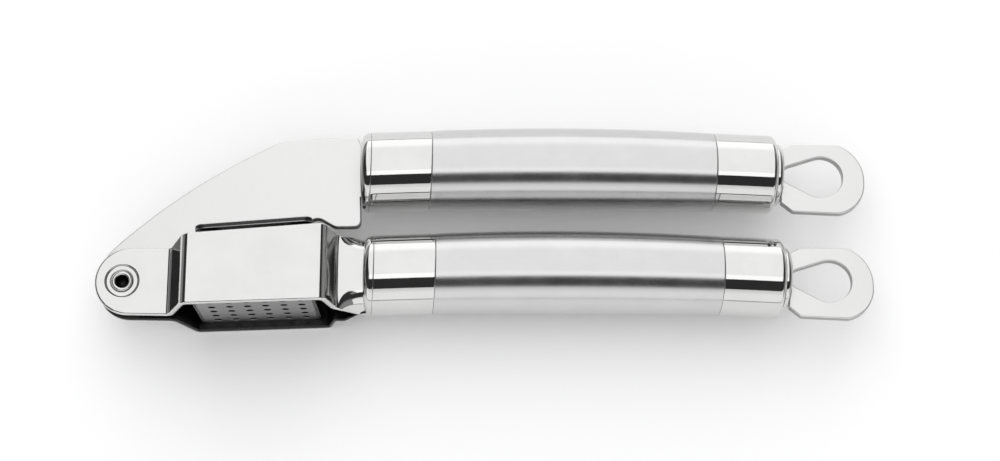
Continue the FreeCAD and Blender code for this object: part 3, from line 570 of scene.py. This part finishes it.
def cheek_heights(x):
    """Lower and upper edge of the cheek at x, past the ear's round end."""
    neck_end = HANDLE_ORIGIN["lower"]
    end_x = neck_end[0] + NECK_OVERRUN
    lows_x = [EAR_MIDDLE_X, CHAMBER_FRONT_X, CHAMBER_REAR_X, NECK_START_X, end_x]
    lows = [-EAR_RADIUS, FOOT_FRONT_Y, FOOT_REAR_Y, NECK_BOTTOM_Y, neck_end[1] - NECK_HALF_HEIGHT]
    rim_start, rim_end = CHAMBER_FRONT_X + RIM_INSET, CHAMBER_REAR_X - RIM_INSET
    tops_x = [CHAMBER_FRONT_X - RIM_CLIMB, rim_start, rim_end, NECK_START_X, end_x]
    rim = [rim_line(rim_start), rim_line(rim_end)]
    tops = [EAR_RADIUS, *rim, NECK_TOP_Y, neck_end[1] + NECK_HALF_HEIGHT]
    return np.interp(x, lows_x, lows), np.interp(x, tops_x, tops)


def bowed_neck(points):
    """Curl the neck's sheet inwards until its edges meet those of the other cheek."""
    start = NECK_START_X - NECK_BOW_LEAD
    end, middle_y = HANDLE_ORIGIN["lower"]
    share = np.clip((points[:, 0] - start) / (end - start), 0, 1)
    share = share * share * (3 - 2 * share)
    off = np.clip(np.abs(points[:, 1] - middle_y) / NECK_HALF_HEIGHT, 0, 1)
    drop = NECK_BULGE * off ** NECK_SQUARENESS + (NECK_HALF_WIDTH - NECK_BULGE)
    squeeze = 1 - NECK_NARROWING * share * off
    deep = NECK_HALF_WIDTH - (NECK_HALF_WIDTH - points[:, 2]) * squeeze
    return np.stack([points[:, 0], points[:, 1], deep - drop * share], axis=1)


def make_cheek(name, side):
    """One bent and polished stamping; side is 1 for the near one and -1 for the far one."""
    path = cheek_path()
    hole_x = EAR_RADIUS
    ear_x = EAR_RADIUS + EAR_MIDDLE_X
    even_stations = np.linspace(ear_x, path.length, 90)
    stations = np.unique(np.concatenate([even_stations, path.bend_cuts()]))
    lows, tops = cheek_heights(path.at(stations)[0][:, 0])
    lower = [(ear_x, -EAR_RADIUS)] + list(zip(stations, lows))
    upper = list(zip(stations, tops))[::-1] + [(ear_x, EAR_RADIUS)]
    nose = arc_points((ear_x, 0), EAR_RADIUS, 90, 270, 40)[1:-1]
    neck_start, neck_end = (path.length - distance for distance in NECK_CUTS_FROM_END)
    cuts_x = path.bend_cuts() + list(np.linspace(neck_start, neck_end, 12))
    cuts_y = np.linspace(*LENGTHWISE_CUTS_Y, 28)
    hole = circle((hole_x, 0), DIMPLE_RADIUS, 64)
    sheet = plate(lower + upper + nose, [hole], SHEET, CHEEK_ROUND, cuts_x, cuts_y)

    def fold(points):
        places, angles = path.at(points[:, 0])
        x = places[:, 0] - points[:, 2] * np.sin(angles)
        z = places[:, 1] + points[:, 2] * np.cos(angles)
        return np.stack([x, points[:, 1], z], axis=1)

    bent = sheet.moved(fold).moved(bowed_neck).joined(dimple())
    if side < 0:
        bent = bent.moved(lambda points: points * (1, 1, -1))
    # the cheek's inner faces take near black steel: painted shade inside the chamber
    steels = (SHEET_STEEL, CUT_STEEL, SHADE_PAINTED_INNER_STEEL)
    add_piece(name + "_sheet", bent, steels, "polished_sheet", "lower_lever", name)


def dimple():
    """The round dish that the rivet's lip sits in, standing proud on the sheet's inner side."""
    face = EAR_GAP / 2 + SHEET
    ledge = face - DIMPLE_LEDGE_DROP
    floor = face - DIMPLE_FLOOR_DROP
    back = EAR_GAP / 2 - DIMPLE_GAP
    bore = RIVET_RADIUS + DIMPLE_GAP
    bend_start = DIMPLE_FLOOR - DIMPLE_FLOOR_INSET
    bend_rise, bend_reach = DIMPLE_BEND
    profile = [
        (floor, bore),
        (floor, bend_start),
        *[(floor + bend_rise * (1 - math.cos(t)), bend_start + bend_reach * math.sin(t))
          for t in np.linspace(0.2, math.pi / 2, 5)],
        *[(ledge - drop, DIMPLE_FLOOR + out) for drop, out in DIMPLE_INNER_LIP],
        *[(ledge - drop, DIMPLE_RADIUS + out) for drop, out in DIMPLE_OUTER_LIP],
        (back, DIMPLE_RADIUS),
        (back, bore),
    ]
    return lathe(profile[::-1]).moved(onto_z)


# ---------------------------------------------------------------- lower lever: basket and rivet


def rounded_box_outline(ends, half_width, corner):
    """A rectangle in plan with round corners, counter-clockwise."""
    front, rear = ends
    spots = []
    for middle, start in (
        ((rear - corner, half_width - corner), 0),
        ((front + corner, half_width - corner), 90),
        ((front + corner, corner - half_width), 180),
        ((rear - corner, corner - half_width), 270),
    ):
        spots += arc_points(middle, corner, start, start + 90, 9)
    return spots


def evenly_spaced(middle, pitch, count):
    return [middle + (index - (count - 1) / 2) * pitch for index in range(count)]


def make_basket():
    """The cup: a wall one unit tall that is raised between two slopes, and the sieve at its bottom."""
    outer = rounded_box_outline(BASKET_X, BASKET_HALF_WIDTH, BASKET_CORNER)
    inner_ends = (BASKET_X[0] + BASKET_WALL, BASKET_X[1] - BASKET_WALL)
    inner = rounded_box_outline(inner_ends, BASKET_HALF_WIDTH - BASKET_WALL, BASKET_CORNER - BASKET_WALL)
    wall = plate(outer, [inner], thickness=1.0, edge=BASKET_EDGE)

    def raise_wall(points):
        x, z = points[:, 0], points[:, 1]
        low = foot_line(x) + SIEVE_LIFT
        high = rim_line(x) - BASKET_DROP
        return np.stack([x, low + (points[:, 2] + 0.5) * (high - low), z], axis=1)

    columns = evenly_spaced(SIEVE_MIDDLE_X, SIEVE_PITCH[0], SIEVE_GRID[0])
    rows = evenly_spaced(0.0, SIEVE_PITCH[1], SIEVE_GRID[1])
    holes = [circle((x, z), SIEVE_HOLE, 28) for x in columns for z in rows]
    sieve = plate(outer, holes, SIEVE_THICKNESS, SIEVE_EDGE)

    sieve_lying = sieve.moved(lying(foot_line, SIEVE_LIFT + SIEVE_THICKNESS / 2))
    basket = wall.moved(raise_wall).joined(sieve_lying)
    # the basket's upright walls and the sieve's hole walls take near black steel: painted shade inside the
    # chamber and in the holes
    steels = (SIEVE_STEEL, SHADE_PAINTED_EDGE_STEEL, SIEVE_STEEL)
    add_piece("sieve_basket_pressing", basket, steels, "pressed_steel", "lower_lever", "sieve_basket")


def make_rivet():
    """A tube with rolled lips and a web across its bore; the bore and the web take near black steel,
    painted shade in the hole.
    """
    seat = EAR_GAP / 2 + SHEET - RIVET_SEAT_DROP
    lip = (RIVET_LIP - RIVET_BORE) / 2
    middle = (RIVET_BORE + RIVET_LIP) / 2
    front = arc_points((seat, middle), lip, 90, -90, 15)
    back = arc_points((-seat, middle), lip, 270, 90, 15)
    web = RIVET_WEB / 2
    bore = [(web, RIVET_BORE), (web, 0.0), (-web, 0.0), (-web, RIVET_BORE)]
    profile = [*front, *bore, *back, (-seat, RIVET_RADIUS), (seat, RIVET_RADIUS)]
    rivet = lathe(profile[::-1], 96).moved(onto_z)
    reach = np.hypot(rivet.points[:, 0], rivet.points[:, 1])
    bore_reach = RIVET_BORE + RIVET_BORE_MARGIN
    # faces inside the bore, the web with them, take the painted shade
    rivet.marks = [int(reach[list(face)].max() < bore_reach) for face in rivet.faces]
    steels = (RIVET_STEEL, SHADE_PAINTED_BORE_STEEL)
    add_piece("pivot_rivet_tube", rivet, steels, "rivet_steel", "lower_lever", "pivot_rivet")


# ---------------------------------------------------------------- upper lever: arm plate


def make_arm():
    """The flat plate from the rivet to its tang in the upper handle, with a boss for the pin."""
    handle_x, tang_middle = HANDLE_ORIGIN["upper"]
    end_x = handle_x - ARM_END_GAP
    tang_x = handle_x + TANG_LENGTH
    tang_low, tang_high = tang_middle - TANG_HALF_HEIGHT, tang_middle + TANG_HALF_HEIGHT
    boss_front, boss_rear = PIN_X - PIN_BOSS_REACH, PIN_X + PIN_BOSS_REACH
    rear_x = CHAMBER_REAR_X - ARM_REAR_REACH
    rear = (rear_x, rim_line(rear_x) + ARM_REAR_GAP)
    tab_front = (CHAMBER_REAR_X + ARM_TAB_REACH, ARM_TAB_Y)
    tab_rear = (end_x + ARM_TAB_SLANT, ARM_TAB_Y)
    top_rear = (end_x - ARM_END_SLANT, ARM_TOP_Y, ARM_END_RISE)
    shoulder = (*ARM_SHOULDER, ARM_TOP_RISE)
    corners = [
        (*ARM_HEEL, ARM_HEEL_RISE),
        ARM_THROAT,
        ARM_CHIN,
        (BASKET_X[0], rim_line(BASKET_X[0]) + ARM_FRONT_GAP),
        (boss_front, rim_line(boss_front) + ARM_RIM_GAP),
        (PIN_X - PIN_BOSS, PIN_Y, PIN_BOSS),
        (PIN_X + PIN_BOSS, PIN_Y),
        (boss_rear, rim_line(boss_rear) + ARM_RIM_GAP),
        rear,
        tab_front,
        tab_rear,
        (end_x, tang_low),
        (tang_x, tang_low),
        (tang_x, tang_high),
        (end_x, tang_high),
        top_rear,
        shoulder,
        (*ARM_CROWN, ARM_BACK_RISE),
        (*ARM_NOSE, ARM_NOSE_RISE),
    ]
    rounds = {
        rear: ARM_TAB_ROUND,
        tab_front: ARM_TAB_ROUND,
        tab_rear: ARM_END_ROUND,
        top_rear: ARM_END_ROUND,
        shoulder: ARM_SHOULDER_ROUND,
    }
    holes = [
        circle((0, 0), RIVET_RADIUS + RUNNING_GAP),
        circle((PIN_X, PIN_Y), PIN_RADIUS + RUNNING_GAP),
    ]
    arm = plate(outline_through(corners, rounds), holes, ARM_THICKNESS, EDGE_ROUND)
    steels = (ARM_STEEL, SHEARED_STEEL, ARM_STEEL)
    add_piece("arm_plate_blank", arm, steels, "arm_steel", "upper_lever", "arm_plate")


# ---------------------------------------------------------------- plunger


def lying(line, lift):
    """Lay a plate, drawn in x and z, parallel to a line along the chamber."""
    return lambda points: np.stack([
        points[:, 0],
        line(points[:, 0]) + lift + points[:, 2],
        points[:, 1],
    ], axis=1)


def make_foot():
    outline = rounded_box_outline(FOOT_X, FOOT_HALF_WIDTH, BASKET_CORNER - BASKET_WALL)
    flat = plate(outline, (), FOOT_THICKNESS, FOOT_EDGE)
    foot = flat.moved(lying(foot_line, FOOT_LIFT + FOOT_THICKNESS / 2))
    # the whole foot takes near black steel: painted shade inside the basket
    steels = (SHADE_PAINTED_INNER_STEEL, SHADE_PAINTED_INNER_STEEL, SHADE_PAINTED_INNER_STEEL)
    add_piece("plunger_foot_plate", foot, steels, "pressed_steel", "plunger", "plunger_foot")


def make_bracket(name, side):
    """A sheet folded at its foot and at its top, beside the arm."""
    half = BRACKET_SHEET / 2
    web_z = BRACKET_GAP + half
    foot_y = FOOT_LIFT + FOOT_THICKNESS + half
    height = (rim_line(PIN_X) + FLANGE_LIFT + half) - (foot_line(PIN_X) + foot_y)
    bends = [(FOOT_HALF_WIDTH - BRACKET_GAP, 0), (web_z, 0), (web_z, height), (FOOT_HALF_WIDTH, height)]
    fold = FoldLine(bends, half + BRACKET_BEND_RADIUS)
    _, _, web, top_bend, flange = fold.parts
    web_start, web_end, flange_start = web[0], top_bend[0], flange[0]
    foot_ends = (PIN_X - WEB_HALF_LENGTH, PIN_X + WEB_HALF_LENGTH)
    web_tops = (FLANGE_X[0] + 2 * FLANGE_CORNER, FLANGE_X[1] - 2 * FLANGE_CORNER)

    def sheet_end(foot_x, web_x, flange_x):
        """The corners across one end of the flat sheet, from its foot to the tip of its flange."""
        return [
            (0.0, foot_x),
            (web_start, foot_x),
            (web_end, web_x),
            (flange_start, web_x),
            (flange_start, flange_x),
            (fold.length, flange_x),
        ]

    front, rear = (sheet_end(*places) for places in zip(foot_ends, web_tops, FLANGE_X))
    rounds = {front[-1]: FLANGE_CORNER, rear[-1]: FLANGE_CORNER}
    outline = outline_through(rear + front[::-1], rounds)
    sheet = plate(outline, (), BRACKET_SHEET, BRACKET_EDGE, fold.bend_cuts())

    def bend(points):
        places, angles = fold.at(points[:, 0])
        z = places[:, 0] - points[:, 2] * np.sin(angles)
        up = places[:, 1] + points[:, 2] * np.cos(angles)
        x = points[:, 1]
        low = foot_line(x) + foot_y
        high = rim_line(x) + FLANGE_LIFT + half
        return np.stack([x, low + up / height * (high - low), z * side], axis=1)

    bracket = sheet.moved(bend)
    # the bracket's cut edges take near black steel: a painted dark reflection
    steels = (PRESSED_STEEL, SHADE_PAINTED_EDGE_STEEL, PRESSED_STEEL)
    add_piece(name + "_fold", bracket, steels, "pressed_steel", "plunger", name)


def make_pin():
    """The shank through the arm plate, with a rounded head on the outside of each bracket."""
    outer = BRACKET_GAP + BRACKET_SHEET
    top = outer + PIN_HEAD_HEIGHT
    face_radius = PIN_HEAD_RADIUS - PIN_HEAD_ROUND
    profile = [
        (-top, 0.0),
        (-top, face_radius),
        *arc_points((-top + PIN_HEAD_ROUND, face_radius), PIN_HEAD_ROUND, 180, 90, 5),
        (-outer, PIN_HEAD_RADIUS),
        (-outer, PIN_RADIUS),
        (outer, PIN_RADIUS),
        (outer, PIN_HEAD_RADIUS),
        *arc_points((top - PIN_HEAD_ROUND, face_radius), PIN_HEAD_ROUND, 90, 0, 5),
        (top, 0.0),
    ]
    pin = lathe(profile, 64).moved(lambda points: onto_z(points) + (PIN_X, PIN_Y, 0))
    add_piece("plunger_pin_shank", pin, (RIVET_STEEL,), "rivet_steel", "plunger", "plunger_pin")


# ---------------------------------------------------------------- handles


def arch(station):
    """How far a handle's axis stands above its chord."""
    half = HANDLE_LENGTH / 2
    return np.sqrt(ARCH_RADIUS ** 2 - (station - half) ** 2) - math.sqrt(ARCH_RADIUS ** 2 - half ** 2)


def handle_place(side):
    """The map from a straight handle to the arched one; its seams lean, the face of its cap does not."""
    origin = HANDLE_ORIGIN[side]
    c, s = math.cos(HANDLE_SLOPE), math.sin(HANDLE_SLOPE)

    def place(points):
        lean = SEAM_TILT * np.clip(points[:, 0] / CAP_END, 0, 1)
        x = points[:, 0] + points[:, 2] * np.sin(lean)
        y = points[:, 1] + arch(points[:, 0])
        z = points[:, 2] * np.cos(lean)
        return np.stack([origin[0] + x * c - y * s, origin[1] + x * s + y * c, z], axis=1)

    return place


def flat_place(side):
    """The map for a plate that lies in the handle's middle plane."""
    origin = HANDLE_ORIGIN[side]
    c, s = math.cos(HANDLE_SLOPE), math.sin(HANDLE_SLOPE)
    return lambda points: np.stack([
        origin[0] + points[:, 0] * c - points[:, 1] * s,
        origin[1] + points[:, 0] * s + points[:, 1] * c,
        points[:, 2],
    ], axis=1)


def tube_radius(station):
    """The handle swells a little towards its belly, along an arc through three radii."""
    share = (station - FRONT_SEAM) / (REAR_SEAM - FRONT_SEAM)
    share = np.clip(share, 0, 1)
    lift = BELLY_RADIUS - (FRONT_RADIUS + REAR_RADIUS) / 2
    return FRONT_RADIUS + (REAR_RADIUS - FRONT_RADIUS) * share + 4 * lift * share * (1 - share)


def tube_profile(start, end, count, wall=TUBE_WALL):
    """A tube between two seams, its outer edges rounded, as a closed profile."""
    first, last = tube_radius(start), tube_radius(end)
    outer = [(x, tube_radius(x)) for x in np.linspace(start + SEAM_ROUND, end - SEAM_ROUND, count)]
    return [
        *arc_points((start + SEAM_ROUND, first - SEAM_ROUND), SEAM_ROUND, 180, 90, 5)[:-1],
        *outer,
        *arc_points((end - SEAM_ROUND, last - SEAM_ROUND), SEAM_ROUND, 90, 0, 5)[1:],
        (end, last - wall),
        (start, first - wall),
    ]


def face_points(station, start, end):
    """Rings across a flat end face, from one radius to another."""
    return [(station, radius) for radius in np.linspace(start, end, 6)]


def cap_profile():
    """The disc that closes the front of the tube, with a rounded rim and a fine seam behind it."""
    seam_start = CAP_END - CAP_SEAM_ROUND
    seam_middle = (seam_start, FRONT_RADIUS - CAP_SEAM_ROUND)
    return [
        (0.0, 0.0),
        *face_points(0.0, FACE_CORE, FRONT_RADIUS - CAP_ROUND - FACE_MARGIN),
        *arc_points((CAP_ROUND, FRONT_RADIUS - CAP_ROUND), CAP_ROUND, 180, 90, 14),
        (seam_start, FRONT_RADIUS),
        *arc_points(seam_middle, CAP_SEAM_ROUND, 90, 0, 4)[1:],
        (CAP_END, FRONT_RADIUS - SEAM_DEPTH),
        (CAP_END, 0.0),
    ]


def rear_ferrule_profile():
    """The last tube, drawn in to a rounded shoulder with a seat for the end disc."""
    shoulder = TUBE_END - CAP_ROUND
    seam_end = REAR_SEAM + SEAM_ROUND
    seat_radius = DISC_RADIUS + DISC_GAP
    return [
        *arc_points((seam_end, REAR_RADIUS - SEAM_ROUND), SEAM_ROUND, 180, 90, 5)[:-1],
        *[(x, REAR_RADIUS) for x in np.linspace(seam_end, shoulder, 12)[:-1]],
        *arc_points((shoulder, REAR_RADIUS - CAP_ROUND), CAP_ROUND, 90, 0, 14),
        (TUBE_END - DISC_LEDGE, seat_radius),
        (TUBE_END - DISC_SEAT, seat_radius),
        (REAR_SEAM, REAR_RADIUS - TUBE_WALL),
    ]


def end_disc_profile():
    """The disc in the shoulder, its face standing out beyond the tube."""
    face_radius = DISC_RADIUS - DISC_ROUND
    return [
        (TUBE_END - DISC_SEAT, 0.0),
        (TUBE_END - DISC_SEAT, DISC_RADIUS),
        *arc_points((HANDLE_LENGTH - DISC_ROUND, face_radius), DISC_ROUND, 90, 0, 12),
        *face_points(HANDLE_LENGTH, face_radius - FACE_MARGIN, FACE_CORE),
        (HANDLE_LENGTH, 0.0),
    ]


def make_handle(side):
    """The five turned pieces of one handle, and its hanging loop."""
    body = f"{side}_lever"
    place = handle_place(side)

    def add_turned(node_name, form, profile, material=TUBE_STEEL, slot="polished_tube"):
        turned = lathe(profile).moved(place)
        add_piece(f"{node_name}_{form}", turned, (material,), slot, body, node_name)

    add_turned(f"{side}_front_cap", "disc", cap_profile())
    add_turned(f"{side}_front_ferrule", "tube", tube_profile(CAP_END, FRONT_SEAM, 12))
    sleeve = tube_profile(FRONT_SEAM, REAR_SEAM, 60)
    add_turned(f"{side}_grip_sleeve", "tube", sleeve, SATIN_STEEL, "satin_steel")
    add_turned(f"{side}_rear_ferrule", "tube", rear_ferrule_profile())
    add_turned(f"{side}_end_disc", "cap", end_disc_profile())
    make_loop(side, body)


def loop_eye():
    """A drop-shaped hole: two arcs of different size and the lines that touch them both."""
    middle = np.array((HANDLE_LENGTH + EYE_PLACE[0], EYE_PLACE[1]))
    tip_middle = np.array((HANDLE_LENGTH + EYE_TIP_PLACE[0], EYE_TIP_PLACE[1]))
    reach = tip_middle - middle
    lean = math.degrees(math.atan2(reach[1], reach[0]))
    spread = math.degrees(math.acos((EYE_RADIUS - EYE_TIP_RADIUS) / np.linalg.norm(reach)))
    wide = arc_points(middle, EYE_RADIUS, lean + spread, lean - spread + 360, 40)
    narrow = arc_points(tip_middle, EYE_TIP_RADIUS, lean - spread, lean + spread, 16)
    return wide + narrow


def make_loop(side, body):
    """The flat plate at the handle's rear end, rounded to a nose and pierced by its eye."""
    end = HANDLE_LENGTH
    tang, face, shoulder, far_side = (
        end + along for along in (-LOOP_TANG, LOOP_FACE_GAP, LOOP_SHOULDER, LOOP_FAR))
    low_side, high_side = LOOP_SIDE_Y
    low_shoulder, high_shoulder = (shoulder, LOOP_SHOULDER_Y), (shoulder, high_side)
    corners = [
        (tang, LOOP_TANG_Y[0]),
        (face, LOOP_TANG_Y[0]),
        (face, LOOP_FACE_Y[0]),
        low_shoulder,
        (far_side, low_side, LOOP_LOW_RISE),
        (end + LOOP_NOSE[0], LOOP_NOSE[1], LOOP_HIGH_RISE),
        (far_side, high_side),
        high_shoulder,
        (face, LOOP_FACE_Y[1]),
        (face, LOOP_TANG_Y[1]),
        (tang, LOOP_TANG_Y[1]),
    ]
    rounds = {low_shoulder: LOOP_SHOULDER_ROUND, high_shoulder: LOOP_SHOULDER_ROUND}
    outline = outline_through(corners, rounds)
    loop = plate(outline, [loop_eye()], LOOP_THICKNESS, EDGE_ROUND).moved(flat_place(side))
    steels = (ARM_STEEL, CUT_STEEL, ARM_STEEL)
    add_piece(f"{side}_hanging_loop_plate", loop, steels, "arm_steel", body, f"{side}_hanging_loop")


# ---------------------------------------------------------------- studio


def add_panel(name, start, end, distance, half_length, power):
    """A soft light seen from the press between two angles, measured from straight up towards +Y."""
    middle, half = math.radians((start + end) / 2), math.radians((end - start) / 2)
    light = bpy.data.lights.new(name, "AREA")
    light.shape = "RECTANGLE"
    light.size = 2 * half_length
    light.size_y = 2 * distance * math.tan(half)
    light.energy = power * light.size * light.size_y
    lamp = bpy.data.objects.new(name, light)
    direction = Vector((0, math.sin(middle), math.cos(middle)))
    lamp.location = Vector((0, 0, MIDDLE_Z * MM)) + direction * distance
    lamp.rotation_euler = (-middle, 0, 0)
    bpy.context.scene.collection.objects.link(lamp)


def make_lights():
    bpy.context.scene.view_settings.view_transform = "Standard"
    add_panel("ceiling_softbox", start=-24, end=88, distance=0.75, half_length=0.42, power=3.8)
    add_panel("ceiling_edge_strip", start=-24, end=-12, distance=0.74, half_length=0.42, power=0.8)
    add_panel("front_card", start=-88, end=-53, distance=0.8, half_length=0.7, power=2.6)


DIFFUSE_GREY, OVERHEAD_GREY, HORIZON_GREY, BACKDROP_GREY = 0.6, 0.035, 0.3, 1.0
HORIZON_END, OVERHEAD_START = 0.4, 0.58


def make_world():
    """A room that lights evenly, looks white, and is mirrored dark overhead and paler at the horizon."""
    world = bpy.data.worlds.new("studio")
    bpy.context.scene.world = world
    world.use_nodes = True
    tree = world.node_tree
    tree.nodes.clear()
    link = tree.links.new
    out = tree.nodes.new("ShaderNodeOutputWorld")
    rays = tree.nodes.new("ShaderNodeLightPath")
    diffuse, mirrored, seen = (
        node(tree, "ShaderNodeBackground", Color=(grey, grey, grey, 1))
        for grey in (DIFFUSE_GREY, OVERHEAD_GREY, BACKDROP_GREY))
    height = tree.nodes.new("ShaderNodeSeparateXYZ")
    link(tree.nodes.new("ShaderNodeTexCoord").outputs["Generated"], height.inputs[0])
    room = node(tree, "ShaderNodeMapRange", From_Min=HORIZON_END, From_Max=OVERHEAD_START,
                To_Min=HORIZON_GREY, To_Max=OVERHEAD_GREY)
    link(height.outputs["Z"], room.inputs["Value"])
    link(room.outputs["Result"], mirrored.inputs["Color"])

    def mixed(factor, first, second):
        """The first shader where the factor is 0, the second where it is 1."""
        mix = tree.nodes.new("ShaderNodeMixShader")
        for socket, source in zip(mix.inputs, (factor, first, second)):
            link(source, socket)
        return mix.outputs[0]

    reflection = mixed(rays.outputs["Is Glossy Ray"], diffuse.outputs[0], mirrored.outputs[0])
    sky = mixed(rays.outputs["Is Camera Ray"], reflection, seen.outputs[0])
    link(sky, out.inputs["Surface"])


FLOOR_SIZE = 6.0
FLOOR_COLOUR = (0.93, 0.93, 0.93, 1)


def make_floor():
    bpy.ops.mesh.primitive_plane_add(size=FLOOR_SIZE, location=(0, 0, CAD_BOX[0].z))
    floor = bpy.context.object
    floor.name = "studio_floor"
    paint = bpy.data.materials.new("pale_floor")
    paint.use_nodes = True
    shader = paint.node_tree.nodes["Principled BSDF"]
    shader.inputs["Base Color"].default_value = FLOOR_COLOUR
    shader.inputs["Roughness"].default_value = 0.9
    shader.inputs["Specular IOR Level"].default_value = 0.1
    floor.data.materials.append(paint)


CAMERA_AIM = (4.05, -1.46)
CAMERA_DIRECTION = (0.0167, -0.2957, 0.9551)
CAMERA_DISTANCE = 0.528
CAMERA_LENS, CAMERA_SENSOR = 79.2, 36.0


def make_camera():
    """Seen from above and a little from the lower lever's side."""
    aim = Vector((*CAMERA_AIM, MIDDLE_Z)) * MM
    back = Vector(CAMERA_DIRECTION).normalized()
    right = Vector((0, 1, 0)).cross(back).normalized()
    up = back.cross(right)
    data = bpy.data.cameras.new("camera")
    data.lens = CAMERA_LENS
    data.sensor_width = CAMERA_SENSOR
    camera = bpy.data.objects.new("camera", data)
    camera.location = aim + back * CAMERA_DISTANCE
    camera.rotation_euler = Matrix((right, up, back)).transposed().to_euler()
    bpy.context.scene.collection.objects.link(camera)
    bpy.context.scene.camera = camera


make_cheek("near_cheek", 1)
make_cheek("far_cheek", -1)
make_basket()
make_rivet()
make_arm()
make_foot()
make_bracket("near_plunger_bracket", 1)
make_bracket("far_plunger_bracket", -1)
make_pin()
for handle_side in ("upper", "lower"):
    make_handle(handle_side)
make_lights()
make_world()
make_floor()
make_camera()
